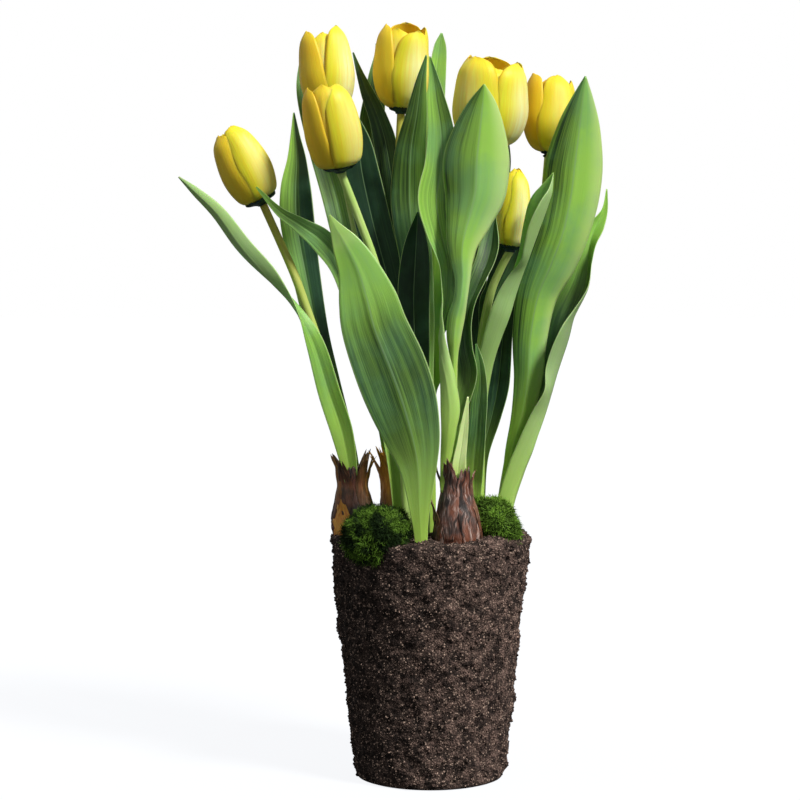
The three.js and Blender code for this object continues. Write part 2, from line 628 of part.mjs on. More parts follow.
// A papery bulb with a torn, open neck.
function bulbSolid(bulb, grow = 0) {
  const { height, radius, foot, lean, turn } = bulb;
  const neck = 0.52 * radius;
  const profile = [
    [0, -grow], [0.5 * radius, 0.02 * height - grow], [0.86 * radius, 0.16 * height],
    [radius, 0.34 * height], [0.93 * radius, 0.52 * height], [0.7 * radius, 0.7 * height],
    [neck + 1, 0.82 * height], [neck + 1.6, height],
  ].map(([r, z]) => [r === 0 ? 0 : r + grow, z]);
  const inner = [
    [neck + 1.6 - BULB.wall, height], [neck - 0.8, 0.9 * height], [0, 0.86 * height],
  ];
  return latheSolid([...profile, ...inner], BULB.sides, (point) => {
    const angle = pointAngle(point) + turn;
    const rise = point.z / height;
    const torn = THREE.MathUtils.clamp((rise - 0.82) / 0.18, 0, 1);
    const ribs = 1 + 0.035 * Math.sin(7 * angle) + 0.02 * Math.sin(11 * angle + 1);
    const spread = ribs + 0.16 * torn * Math.sin(3 * angle + 2);
    point.x = point.x * spread + foot[0] + lean[0] * rise;
    point.y = point.y * spread + foot[1] + lean[1] * rise;
    point.z += foot[2] + torn * BULB.frill * (Math.sin(5 * angle) + 0.5 * Math.sin(8 * angle));
  });
}

// A moss cushion of close-set tufts.
function mossSolid(moss, grow = 0) {
  const geometry = new THREE.SphereGeometry(1, 16, 10);
  const position = geometry.getAttribute('position');
  const point = new THREE.Vector3();
  for (let i = 0; i < position.count; i += 1) {
    point.fromBufferAttribute(position, i).normalize();
    const tufts = Math.sin(5 * point.x + moss.turn) * Math.sin(6 * point.y + 1);
    const swell = 1 + MOSS_TUFTS * tufts * Math.sin(4 * point.z + 1);
    point.set(
      moss.centre[0] + point.x * (moss.halfSize[0] * swell + grow),
      moss.centre[1] + point.y * (moss.halfSize[1] * swell + grow),
      moss.centre[2] + point.z * (moss.halfSize[2] * swell + grow),
    );
    position.setXYZ(i, point.x, point.y, point.z);
  }
  return toSolid(geometry);
}

// How far the soil's surface stands out at a place on it.
function crumble(angle, height) {
  const coarse = Math.sin(3 * angle + 0.045 * height) + Math.sin(7 * angle - 0.07 * height + 1);
  const fine = Math.sin(13 * angle + 0.16 * height) + Math.sin(17 * angle - 0.21 * height + 2);
  return SOIL_ROUGHNESS * (0.3 * coarse + 0.35 * fine);
}

// The tapered block, rough on its sides and top and flat underneath.
function soilSolid() {
  const { height, topRadius, footRadius, levels } = SOIL;
  const profile = [[0, 0], [footRadius - SOIL_EDGE, 0]];
  for (let level = 0; level <= levels; level += 1) {
    const share = level / levels;
    const rise = THREE.MathUtils.lerp(SOIL_EDGE, height - SOIL_EDGE, share);
    profile.push([THREE.MathUtils.lerp(footRadius, topRadius, share), rise]);
  }
  for (let ring = SOIL_RINGS; ring >= 0; ring -= 1) {
    profile.push([(topRadius - SOIL_EDGE) * ring / SOIL_RINGS, height]);
  }
  return latheSolid(profile, SOIL.sides, (point) => {
    const radius = Math.hypot(point.x, point.y);
    if (point.z < SOIL_EDGE / 2 || radius < 1) {
      return;
    }
    const angle = pointAngle(point);
    const bump = crumble(angle, point.z);
    if (point.z > height - SOIL_EDGE / 2) {
      point.z += SOIL_ROUGHNESS * Math.sin(5 * angle + 0.2 * radius) * Math.sin(0.13 * radius);
    }
    point.x *= 1 + bump / radius;
    point.y *= 1 + bump / radius;
  });
}

// ---- assembly -------------------------------------------------------------

const plant = new THREE.Group();
plant.name = 'tulip_clump';

// Triangles that stand out by less than the detail size are merged.
function addPiece(name, solid, material) {
  const mesh = new THREE.Mesh(toGeometry(solid.simplify(DETAIL)), material);
  mesh.name = name;
  plant.add(mesh);
}

function cut(solid, cutters) {
  return cutters.reduce((rest, cutter) => rest.subtract(cutter), solid);
}

const grownLeaves = Object.entries(LEAVES).map(([name, leaf]) => [name, bladeSolid(leaf, CLEARANCE)]);
const grownStems = Object.entries(STEMS).map(([name, route]) => [name, stemSolid(route, CLEARANCE)]);
const growths = [...grownLeaves, ...grownStems].map(([, solid]) => solid);
const grownBulbs = Object.values(BULBS).map((bulb) => bulbSolid(bulb, CLEARANCE));
const grownMosses = Object.values(MOSSES).map((moss) => mossSolid(moss, CLEARANCE));

addPiece('soil_block', cut(soilSolid(), [...grownBulbs, ...grownMosses, ...growths]), soilFinish);

for (const [name, moss] of Object.entries(MOSSES)) {
  addPiece(`moss_${name}`, cut(mossSolid(moss), [...grownBulbs, ...growths]), mossFinish);
}
for (const [name, bulb] of Object.entries(BULBS)) {
  addPiece(`bulb_${name}`, cut(bulbSolid(bulb), growths), bulbFinish);
}
for (const [name, leaf] of Object.entries(LEAVES)) {
  addPiece(`leaf_${name}`, bladeSolid(leaf), leafFinish);
}
for (const [name, route] of Object.entries(STEMS)) {
  addPiece(`stem_${name}`, stemSolid(route), stemFinish);
  addPiece(`cap_${name}`, capSolid(BLOOMS[name]).subtract(stemSolid(route, CLEARANCE)), capFinish);
  addPiece(`bloom_${name}`, bloomSolid(BLOOMS[name]), petalFinish);
}

export default plant;
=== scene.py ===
"""Tulip clump in a bare block of soil: every petal, leaf, bulb, moss cushion and crumb."""

import math

import bmesh
import bpy
import numpy as np
from bpy.props import FloatProperty, FloatVectorProperty, IntProperty, PointerProperty
from mathutils import Matrix, Vector, noise


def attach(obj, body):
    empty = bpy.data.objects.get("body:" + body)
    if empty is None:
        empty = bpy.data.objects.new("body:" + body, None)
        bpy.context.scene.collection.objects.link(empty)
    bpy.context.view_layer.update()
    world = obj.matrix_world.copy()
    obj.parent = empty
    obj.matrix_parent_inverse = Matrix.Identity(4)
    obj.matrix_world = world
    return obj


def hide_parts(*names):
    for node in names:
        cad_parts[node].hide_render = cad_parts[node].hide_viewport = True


bl_info = {
    "name": "Tulip Clump in Soil",
    "version": (1, 0, 0),
    "blender": (4, 5, 0),
    "location": "View3D > Sidebar > Tulips",
    "description": "Builds the blooms, leaves, bulbs, moss and soil of a tulip clump",
    "category": "Object",
}

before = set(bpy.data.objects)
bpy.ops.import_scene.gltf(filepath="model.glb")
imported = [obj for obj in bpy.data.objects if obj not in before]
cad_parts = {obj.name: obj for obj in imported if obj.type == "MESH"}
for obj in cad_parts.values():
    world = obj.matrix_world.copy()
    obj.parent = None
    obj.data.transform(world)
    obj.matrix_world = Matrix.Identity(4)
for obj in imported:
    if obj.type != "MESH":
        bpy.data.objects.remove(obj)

BODY = "root"
TAU = 2 * math.pi
MM = 0.001

# ---- where everything grows, in metres --------------------------------------

# Leaf stations: x, y, z, half width, turn in degrees. "cup" is how deep the
# blade is channelled for its half width, "wave" how far its margins ripple,
# "curl" how far its left margin curls forward, "roll" the angle it is rolled
# through, "tone" how light its green is, its own tone and, for the dark
# leaves deep in the clump, painted shade, "painted_side_light" how much lighter its
# right half is painted, as painted light from the lamp side, and "tipped" how much
# paler its upper end is.
LEAVES = {
    "left_drooping": {
        "tone": 0.7, "cup": 0.5, "wave": 0.0004,
        "stations": [
            (-0.056, -0.012, 0.209, 0.004, 0), (-0.059, -0.012, 0.23, 0.006, 0),
            (-0.064, -0.013, 0.254, 0.008, 0), (-0.073, -0.015, 0.281, 0.008, 5),
            (-0.084, -0.018, 0.316, 0.007, 25), (-0.099, -0.019, 0.344, 0.0054, 80),
            (-0.117, -0.021, 0.364, 0.0084, 125), (-0.135, -0.024, 0.385, 0.0074, 145),
            (-0.152, -0.027, 0.409, 0.0055, 155), (-0.167, -0.029, 0.424, 0.0034, 160),
            (-0.179, -0.031, 0.435, 0.0006, 160),
        ],
    },
    "left_upright": {
        "tone": 0.33, "painted_side_light": -0.34, "cup": 0.35, "wave": 0.001,
        "stations": [
            (-0.054, 0.002, 0.209, 0.004, 0), (-0.057, 0.003, 0.232, 0.0045, 0),
            (-0.063, 0.005, 0.256, 0.0055, 0), (-0.072, 0.007, 0.288, 0.0065, 0),
            (-0.082, 0.009, 0.325, 0.008, 0), (-0.091, 0.011, 0.368, 0.0105, 8),
            (-0.097, 0.012, 0.402, 0.0125, 10), (-0.098, 0.012, 0.428, 0.0112, 5),
            (-0.097, 0.012, 0.45, 0.007, 0), (-0.098, 0.011, 0.468, 0.0034, -5),
            (-0.099, 0.01, 0.484, 0.0006, -5),
        ],
    },
    "left_arching": {
        "tone": 0.5, "cup": 0.3, "wave": 0.0005,
        "stations": [
            (-0.022, -0.022, 0.16, 0.0045, 20), (-0.023, -0.022, 0.204, 0.0054, 20),
            (-0.03, -0.02, 0.254, 0.006, 20), (-0.043, -0.017, 0.305, 0.007, 20),
            (-0.055, -0.014, 0.344, 0.008, 20), (-0.065, -0.013, 0.372, 0.0084, 15),
            (-0.078, -0.017, 0.39, 0.0086, 5), (-0.093, -0.022, 0.401, 0.0057, 0),
            (-0.108, -0.026, 0.411, 0.0032, 0), (-0.124, -0.029, 0.428, 0.0006, 0),
        ],
    },
    "front_broad": {
        "tone": 0.35, "tipped": 0.85, "cup": -0.1, "wave": 0.001, "curl": 0.12,
        "stations": [
            (-0.007, -0.057, 0.16, 0.0042, 0), (-0.007, -0.058, 0.178, 0.0045, 0),
            (-0.008, -0.06, 0.2, 0.007, 0), (-0.009, -0.062, 0.229, 0.0129, 0),
            (-0.0125, -0.064, 0.25, 0.0191, 0), (-0.0195, -0.066, 0.275, 0.024, 0),
            (-0.028, -0.067, 0.299, 0.0252, 0), (-0.039, -0.067, 0.327, 0.0231, -3),
            (-0.0445, -0.066, 0.348, 0.0205, -5), (-0.051, -0.064, 0.369, 0.0147, -8),
            (-0.0595, -0.062, 0.386, 0.01, -8), (-0.0665, -0.061, 0.398, 0.0046, -8),
            (-0.071, -0.06, 0.407, 0.0006, -8),
        ],
    },
    "left_back": {
        "tone": 0.42, "cup": 0.45, "wave": 0.0005,
        "stations": [
            (-0.026, 0.019, 0.206, 0.004, 0), (-0.029, 0.02, 0.228, 0.0045, 0),
            (-0.033, 0.024, 0.259, 0.006, 0), (-0.041, 0.03, 0.303, 0.0075, 0),
            (-0.05, 0.035, 0.348, 0.009, 0), (-0.06, 0.038, 0.388, 0.01, -5),
            (-0.069, 0.041, 0.426, 0.0105, -8), (-0.08, 0.043, 0.465, 0.0105, -5),
            (-0.088, 0.042, 0.499, 0.01, 0), (-0.09, 0.041, 0.52, 0.0068, 0),
            (-0.091, 0.04, 0.538, 0.0006, 0),
        ],
    },
    "center_left_dark": {
        "tone": 0.1, "cup": 0.3, "wave": 0.0006,
        "stations": [
            (-0.013, 0.004, 0.16, 0.0038, 0), (-0.013, 0.004, 0.202, 0.0045, 0),
            (-0.016, 0.007, 0.246, 0.0066, 0), (-0.02, 0.0095, 0.289, 0.0088, 0),
            (-0.025, 0.0105, 0.333, 0.011, 0), (-0.032, 0.0105, 0.368, 0.0125, 0),
            (-0.041, 0.0095, 0.402, 0.0132, 0), (-0.049, 0.006, 0.438, 0.0124, 5),
            (-0.052, 0.004, 0.46, 0.0095, 8), (-0.057, 0.002, 0.479, 0.0051, 8),
            (-0.061, 0, 0.494, 0.0006, 8),
        ],
    },
    "back_left_pointed": {
        "tone": 0.2, "cup": 0.4, "wave": 0.0005,
        "stations": [
            (-0.008, 0.03, 0.16, 0.0038, 0), (-0.008, 0.03, 0.199, 0.0045, 0),
            (-0.011, 0.029, 0.251, 0.0067, 0), (-0.015, 0.027, 0.311, 0.0089, 0),
            (-0.02, 0.028, 0.362, 0.0103, 0), (-0.025, 0.028, 0.412, 0.0106, -3),
            (-0.031, 0.027, 0.457, 0.009, -8), (-0.037, 0.026, 0.48, 0.007, -8),
            (-0.045, 0.025, 0.499, 0.005, -8), (-0.051, 0.024, 0.514, 0.0026, -8),
            (-0.056, 0.023, 0.529, 0.0006, -8),
        ],
    },
    "back_left_far": {
        "tone": 0.3, "cup": 0.4, "wave": 0.0005,
        "stations": [
            (-0.014, 0.047, 0.16, 0.0038, 0), (-0.015, 0.047, 0.197, 0.0045, 0),
            (-0.02, 0.047, 0.25, 0.0068, 0), (-0.026, 0.047, 0.31, 0.009, 0),
            (-0.033, 0.047, 0.37, 0.0105, 0), (-0.04, 0.047, 0.44, 0.0105, 5),
            (-0.043, 0.046, 0.474, 0.0098, 8), (-0.041, 0.045, 0.496, 0.0082, 5),
            (-0.039, 0.044, 0.515, 0.0056, 0), (-0.038, 0.044, 0.529, 0.0026, 0),
            (-0.039, 0.044, 0.538, 0.0006, 0),
        ],
    },
    "center_upright": {
        "tone": 0.35, "painted_side_light": 0.08, "cup": -0.2, "wave": 0.0008,
        "stations": [
            (0, 0.004, 0.16, 0.0038, 0), (0, 0.004, 0.201, 0.0045, 0),
            (-0.003, 0.003, 0.246, 0.0066, 0), (-0.006, 0.003, 0.289, 0.0087, 0),
            (-0.007, 0.002, 0.333, 0.0102, 0), (-0.01, 0.001, 0.377, 0.012, 5),
            (-0.014, 0, 0.406, 0.013, 8), (-0.015, 0, 0.427, 0.0132, 8),
            (-0.014, -0.004, 0.456, 0.011, 5), (-0.01, -0.009, 0.481, 0.0076, 0),
            (-0.007, -0.012, 0.503, 0.004, 0), (-0.003, -0.013, 0.523, 0.0006, 0),
        ],
    },
    "center_twisting": {
        "tone": 0.55, "painted_side_light": -0.15, "cup": 0.3, "wave": 0.0003, "roll": 1.3,
        "stations": [
            (0.01, -0.0495, 0.212, 0.0034, 180), (0.0105, -0.0515, 0.234, 0.0039, 178),
            (0.012, -0.0555, 0.255, 0.005, 176), (0.013, -0.0565, 0.271, 0.0066, 172),
            (0.011, -0.0555, 0.29, 0.0056, 160), (0.0075, -0.052, 0.307, 0.005, 130),
            (0.006, -0.048, 0.321, 0.0054, 92), (0.008, -0.044, 0.334, 0.007, 52),
            (0.0115, -0.0405, 0.348, 0.007, 28), (0.0125, -0.0385, 0.362, 0.007, 14),
            (0.012, -0.037, 0.375, 0.0076, 8), (0.007, -0.035, 0.397, 0.0105, 0),
            (0.004, -0.034, 0.419, 0.0128, 0), (0.007, -0.033, 0.443, 0.0108, -5),
            (0.007, -0.032, 0.468, 0.0092, -5), (0.004, -0.031, 0.489, 0.0064, -5),
            (0.002, -0.03, 0.504, 0.0036, -5), (-0.001, -0.03, 0.52, 0.0006, -5),
        ],
    },
    "center_broad": {
        "tone": 0.85, "painted_side_light": 0.42, "cup": -0.5, "wave": 0.0008,
        "stations": [
            (0.0165, -0.046, 0.209, 0.0028, 0), (0.0165, -0.049, 0.233, 0.0028, 0),
            (0.016, -0.051, 0.258, 0.0027, 0), (0.016, -0.051, 0.302, 0.0026, 0),
            (0.016, -0.053, 0.321, 0.005, 0), (0.0175, -0.0535, 0.335, 0.006, 0),
            (0.0205, -0.0535, 0.348, 0.0048, 0), (0.022, -0.052, 0.363, 0.0055, 0),
            (0.0215, -0.051, 0.377, 0.0084, 0), (0.0225, -0.05, 0.39, 0.0118, 0),
            (0.027, -0.048, 0.407, 0.017, 0), (0.031, -0.047, 0.424, 0.0218, 0),
            (0.032, -0.046, 0.446, 0.0233, 0), (0.034, -0.045, 0.466, 0.0186, 0),
            (0.036, -0.044, 0.485, 0.0104, 0), (0.037, -0.044, 0.499, 0.0006, 0),
        ],
    },
    "center_right_dark": {
        "tone": 0.3, "cup": 0.6, "wave": 0.0008,
        "stations": [
            (0.011, -0.041, 0.211, 0.0032, -60), (0.012, -0.041, 0.233, 0.0034, -55),
            (0.0165, -0.0425, 0.256, 0.0056, -42), (0.0235, -0.0435, 0.276, 0.0073, -35),
            (0.028, -0.0435, 0.296, 0.008, -30), (0.025, -0.045, 0.314, 0.0074, -32),
            (0.0245, -0.0445, 0.33, 0.007, -35), (0.028, -0.043, 0.346, 0.0065, -35),
            (0.0345, -0.04, 0.362, 0.007, -30), (0.04, -0.035, 0.375, 0.0074, -26),
            (0.043, -0.031, 0.386, 0.0072, -25), (0.0445, -0.028, 0.397, 0.0046, -25),
            (0.046, -0.0265, 0.407, 0.0006, -25),
        ],
    },
    "right_pale": {
        "tone": 0.9, "cup": 0.8, "wave": 0.0004,
        "stations": [
            (0.0365, 0.004, 0.16, 0.0044, -150), (0.0375, 0.004, 0.202, 0.0052, -150),
            (0.038, 0.002, 0.238, 0.0058, -148), (0.0395, -0.002, 0.271, 0.0068, -142),
            (0.044, -0.007, 0.298, 0.0084, -132), (0.05, -0.012, 0.319, 0.01, -122),
            (0.056, -0.016, 0.336, 0.0118, -118), (0.0605, -0.018, 0.352, 0.011, -110),
            (0.0655, -0.021, 0.367, 0.0088, -96), (0.0695, -0.026, 0.378, 0.0076, -78),
            (0.0725, -0.029, 0.387, 0.0096, -80), (0.077, -0.032, 0.4, 0.012, -82),
            (0.0815, -0.033, 0.412, 0.0124, -77), (0.0855, -0.032, 0.424, 0.0092, -68),
            (0.087, -0.031, 0.438, 0.0006, -62),
        ],
    },
    "front_right_narrow": {
        "tone": 0.35, "cup": 0.3, "wave": 0.0003,
        "stations": [
            (0.0295, -0.024, 0.16, 0.0042, -5), (0.0315, -0.026, 0.206, 0.0048, -5),
            (0.031, -0.031, 0.228, 0.0068, -5), (0.0325, -0.036, 0.248, 0.0065, -5),
            (0.0335, -0.039, 0.261, 0.006, -8), (0.0345, -0.0415, 0.275, 0.0059, -10),
            (0.0355, -0.0425, 0.288, 0.0045, -12), (0.0345, -0.043, 0.303, 0.0032, -12),
            (0.032, -0.043, 0.317, 0.0006, -12),
        ],
    },
    "right_dark": {
        "tone": 0.15, "cup": 0.35, "wave": 0.0006,
        "stations": [
            (0.037, 0.022, 0.16, 0.0038, 0), (0.037, 0.022, 0.2, 0.0042, 0),
            (0.039, 0.021, 0.233, 0.005, -10), (0.046, 0.02, 0.262, 0.008, -20),
            (0.05, 0.019, 0.282, 0.01, -25), (0.052, 0.018, 0.3, 0.0099, -25),
            (0.054, 0.017, 0.322, 0.0088, -25), (0.057, 0.016, 0.344, 0.0073, -25),
            (0.06, 0.015, 0.364, 0.0052, -25), (0.064, 0.014, 0.384, 0.0006, -25),
        ],
    },
    "right_broad": {
        "tone": 0.8, "painted_side_light": 0.45, "cup": -0.4, "wave": 0.001,
        "stations": [
            (0.057, 0.011, 0.16, 0.0038, 0), (0.057, 0.011, 0.197, 0.0044, 0),
            (0.06, 0.0095, 0.234, 0.0052, -10), (0.067, 0.0065, 0.262, 0.008, -10),
            (0.0715, 0.0045, 0.29, 0.0106, -8), (0.073, 0.002, 0.319, 0.0126, 0),
            (0.078, -0.0015, 0.35, 0.0152, 5), (0.0875, -0.0055, 0.374, 0.0188, 5),
            (0.0955, -0.008, 0.396, 0.0196, 3), (0.101, -0.009, 0.421, 0.021, 0),
            (0.104, -0.01, 0.446, 0.0208, 0), (0.107, -0.011, 0.471, 0.0156, 0),
            (0.109, -0.012, 0.489, 0.0092, 0), (0.111, -0.013, 0.508, 0.0006, 0),
        ],
    },
    "right_twisting": {
        "tone": 0.25, "tipped": 0.6, "cup": 0.85, "wave": 0.0005,
        "stations": [
            (0.054, -0.005, 0.16, 0.005, -145), (0.0585, -0.005, 0.196, 0.0076, -145),
            (0.0665, -0.004, 0.222, 0.0083, -145), (0.0745, -0.0025, 0.24, 0.0088, -135),
            (0.0815, 0, 0.259, 0.0086, -110), (0.0875, 0.0025, 0.278, 0.0102, -75),
            (0.0925, 0.0045, 0.296, 0.0124, -86), (0.1, 0.007, 0.319, 0.016, -75),
            (0.105, 0.01, 0.336, 0.014, -59), (0.1135, 0.0125, 0.356, 0.0124, -47),
            (0.116, 0.014, 0.375, 0.008, -39), (0.1175, 0.015, 0.389, 0.0065, -22),
            (0.1215, 0.016, 0.401, 0.0056, 2), (0.1275, 0.017, 0.414, 0.0024, 22),
            (0.1295, 0.017, 0.429, 0.0006, 30),
        ],
    },
    "back_tall": {
        "tone": 0.7, "cup": 0.4, "wave": 0.0005,
        "stations": [
            (-0.0035, 0.038, 0.16, 0.0038, 0), (-0.0035, 0.038, 0.199, 0.0045, 0),
            (-0.0025, 0.038, 0.272, 0.007, 0), (0.0005, 0.038, 0.294, 0.0093, 0),
            (0.001, 0.037, 0.322, 0.0096, 0), (0, 0.036, 0.37, 0.0097, 0),
            (0, 0.035, 0.422, 0.0096, 5), (0, 0.034, 0.466, 0.0089, 10),
            (0.003, 0.033, 0.495, 0.008, 15), (0.0055, 0.032, 0.517, 0.0066, 18),
            (0.0075, 0.031, 0.534, 0.0048, 18), (0.009, 0.03, 0.544, 0.0008, 18),
        ],
    },
    "back_right": {
        "tone": 0.15, "cup": 0.35, "wave": 0.0005,
        "stations": [
            (0.022, 0.023, 0.16, 0.0038, 0), (0.022, 0.023, 0.2, 0.0045, 0),
            (0.024, 0.023, 0.252, 0.0059, 0), (0.027, 0.022, 0.304, 0.007, 0),
            (0.032, 0.021, 0.348, 0.0077, 0), (0.038, 0.021, 0.386, 0.0082, 0),
            (0.046, 0.021, 0.418, 0.009, 0), (0.052, 0.025, 0.445, 0.0076, 0),
            (0.055, 0.027, 0.461, 0.004, 0), (0.055, 0.028, 0.474, 0.0006, 0),
        ],
    },
    "center_dark": {
        "tone": 0.02, "cup": 0.3, "wave": 0.0004,
        "stations": [
            (-0.004, -0.013, 0.16, 0.0037, 0), (-0.005, -0.013, 0.203, 0.0047, 0),
            (-0.007, -0.014, 0.24, 0.0065, 0), (-0.01, -0.014, 0.276, 0.0087, 0),
            (-0.011, -0.014, 0.312, 0.0104, 0), (-0.012, -0.014, 0.348, 0.0115, 0),
            (-0.011, -0.014, 0.373, 0.0108, 0), (-0.01, -0.014, 0.392, 0.0075, 0),
            (-0.009, -0.014, 0.411, 0.0006, 0),
        ],
    },
    "bud_sheath": {
        "tone": 0.2, "cup": 0.3, "wave": 0.0003,
        "stations": [
            (0.0295, 0.0185, 0.16, 0.0032, 0), (0.0295, 0.018, 0.2, 0.0036, 0),
            (0.031, 0.0175, 0.245, 0.004, 0), (0.034, 0.0165, 0.285, 0.0042, 0),
            (0.0395, 0.0135, 0.318, 0.0044, 0), (0.0425, 0.011, 0.345, 0.0063, 0),
            (0.0475, 0.0095, 0.355, 0.0076, 0), (0.0535, 0.0085, 0.369, 0.0094, 0),
            (0.059, 0.0095, 0.383, 0.0102, 0), (0.0615, 0.0125, 0.395, 0.0088, 0),
            (0.063, 0.0135, 0.405, 0.0058, 0), (0.0645, 0.014, 0.415, 0.0006, 0),
        ],
    },
    "neck_pale": {
        "tone": 1.45, "cup": 0.3, "wave": 0.0003,
        "stations": [
            (0.0185, -0.0515, 0.212, 0.004, 0), (0.0195, -0.0523, 0.231, 0.0046, 0),
            (0.022, -0.052, 0.248, 0.0036, 3), (0.024, -0.0525, 0.264, 0.0024, 5),
            (0.026, -0.053, 0.28, 0.0006, 5),
        ],
    },
}

# Stem routes, from the root end to the bloom.
STEMS = {
    "far_left": [
        (-0.054, -0.005, 0.205), (-0.057, -0.005, 0.23), (-0.062, -0.005, 0.253),
        (-0.07, -0.006, 0.283), (-0.08, -0.007, 0.315), (-0.089, -0.008, 0.341),
        (-0.098, -0.009, 0.366), (-0.108, -0.01, 0.389), (-0.1206, -0.0112, 0.4172),
    ],
    "upper_left": [
        (-0.024, 0.012, 0.203), (-0.028, 0.012, 0.228), (-0.032, 0.013, 0.26),
        (-0.04, 0.015, 0.318), (-0.05, 0.015, 0.377), (-0.062, 0.014, 0.435),
        (-0.0724, 0.012, 0.4824),
    ],
    "front_left": [
        (-0.017, -0.03, 0.16), (-0.017, -0.03, 0.198), (-0.02, -0.028, 0.241),
        (-0.025, -0.027, 0.291), (-0.031, -0.028, 0.341), (-0.04, -0.029, 0.375),
        (-0.052, -0.03, 0.408), (-0.0642, -0.0319, 0.4389),
    ],
    "top": [
        (-0.001, 0.016, 0.16), (-0.002, 0.016, 0.193), (-0.006, 0.016, 0.252),
        (-0.012, 0.016, 0.326), (-0.018, 0.015, 0.399), (-0.022, 0.015, 0.45),
        (-0.021, 0.015, 0.4844),
    ],
    "center": [
        (0.022, -0.0395, 0.205), (0.022, -0.0395, 0.232), (0.022, -0.0385, 0.256),
        (0.022, -0.037, 0.288), (0.023, -0.037, 0.32), (0.026, -0.0335, 0.358),
        (0.032, -0.027, 0.401), (0.038, -0.014, 0.434), (0.042, -0.0049, 0.4554),
    ],
    "right": [
        (0.052, 0.024, 0.16), (0.053, 0.024, 0.192), (0.06, 0.023, 0.237),
        (0.07, 0.021, 0.289), (0.077, 0.02, 0.348), (0.083, 0.019, 0.406),
        (0.0869, 0.018, 0.4534),
    ],
    "bud": [
        (0.034, 0.012, 0.16), (0.034, 0.012, 0.195), (0.034, 0.012, 0.239),
        (0.035, 0.01, 0.284), (0.038, 0.007, 0.32), (0.044, 0.003, 0.352),
        (0.051, -0.001, 0.37), (0.0579, -0.004, 0.3834),
    ],
}

# How ochre a stem has turned just under its bloom.
RIPENESS = {"far_left": 0.9, "top": 0.8, "bud": 0.15}

# Blooms: base and tip of the axis, widest radius, how full the foot is, and
# the petals: turn in degrees, share of the radius, share of the height, how
# far out the tip stands (0 is on the axis) and how slim the petal is. "pale" is
# how far the petals turn from ochre to lemon, set per bloom partly as its own
# colour and partly as painted light, and "cup" how thick the cup below is.
BLOOMS = {
    "far_left": {
        "base": (-0.1213, -0.0113, 0.4186), "tip": (-0.1465, -0.015, 0.4705),
        "radius": 0.0192, "full": 0.8, "seed": 3, "pale": 0.5, "cup": 1.0,
        "petals": (
            (-150, 1.0, 0.96, 0.42, 0.3), (-46, 1.0, 1.0, 0.3, 0.2), (75, 1.0, 0.97, 0.4, 0.3),
            (-96, 0.86, 0.93, 0.3, 0.5), (15, 0.86, 0.96, 0.35, 0.5), (135, 0.86, 0.95, 0.35, 0.5),
        ),
    },
    "upper_left": {
        "base": (-0.0725, 0.012, 0.484), "tip": (-0.0775, 0.012, 0.544),
        "radius": 0.0204, "full": 0.4, "seed": 5, "pale": 0.8, "cup": 0.9,
        "petals": (
            (-150, 1.0, 0.98, 0.7, 0.8), (-36, 1.0, 1.02, 0.58, 0.8), (84, 1.0, 0.98, 0.55, 0.5),
            (-94, 0.84, 0.95, 0.45, 0.9), (25, 0.86, 0.94, 0.6, 0.6), (150, 0.86, 0.93, 0.6, 0.6),
        ),
    },
    "front_left": {
        "base": (-0.0645, -0.032, 0.4405), "tip": (-0.0745, -0.036, 0.498),
        "radius": 0.0203, "full": 1.0, "seed": 8, "pale": 0.5, "cup": 0.9,
        "petals": (
            (-162, 1.0, 1.03, 0.64, 0.7), (-40, 1.0, 1.02, 0.46, 0.1), (80, 1.0, 0.98, 0.4, 0.4),
            (-104, 0.86, 1.045, 0.5, 0.8), (20, 0.86, 0.95, 0.4, 0.5), (140, 0.86, 0.97, 0.6, 0.6),
        ),
    },
    "top": {
        "base": (-0.021, 0.015, 0.486), "tip": (-0.019, 0.012, 0.548),
        "radius": 0.0213, "full": 0.2, "seed": 13, "pale": 0.75, "cup": 0.8,
        "petals": (
            (-164, 1.0, 0.99, 0.62, 0.6), (-56, 1.0, 0.9, 0.88, 0.45), (84, 1.0, 1.05, 0.75, 0.1),
            (-112, 0.87, 0.93, 0.68, 0.5), (22, 0.9, 0.98, 0.85, 0.2), (140, 0.87, 0.96, 0.7, 0.5),
        ),
    },
    "center": {
        "base": (0.042, -0.005, 0.457), "tip": (0.044, -0.008, 0.523),
        "radius": 0.028, "full": 0.35, "seed": 21, "pale": 1.3, "cup": 0.8,
        "petals": (
            (-134, 1.0, 0.98, 0.62, 0.35), (-30, 1.0, 0.92, 0.72, 0.45), (92, 1.0, 1.0, 0.8, 0.1),
            (-80, 0.87, 0.86, 0.5, 0.4), (28, 0.92, 0.94, 0.84, 0.2), (160, 0.9, 1.0, 0.62, 0.4),
        ),
    },
    "right": {
        "base": (0.087, 0.018, 0.455), "tip": (0.09, 0.018, 0.511),
        "radius": 0.0198, "full": 0.3, "seed": 34, "pale": 0.4, "cup": 0.55,
        "petals": (
            (-174, 1.0, 1.02, 0.75, 0.0), (-66, 1.0, 1.0, 0.38, 0.5), (62, 1.0, 0.97, 0.7, 0.5),
            (-120, 0.86, 0.93, 0.5, 0.5), (8, 0.9, 0.96, 0.76, 0.3), (120, 0.86, 0.95, 0.7, 0.5),
        ),
    },
    "bud": {
        "base": (0.058, -0.004, 0.385), "tip": (0.063, -0.004, 0.443),
        "radius": 0.0136, "full": 1.3, "seed": 55, "pale": 2.0, "cup": 0.85,
        "petals": (
            (-158, 0.95, 0.99, 0.16, 0.6), (-62, 1.0, 0.98, 0.1, 0.5), (55, 0.92, 1.0, 0.14, 0.6),
            (-105, 0.84, 0.96, 0.12, 0.6), (0, 0.82, 0.96, 0.12, 0.6), (120, 0.82, 0.97, 0.12, 0.6),
        ),
    },
}

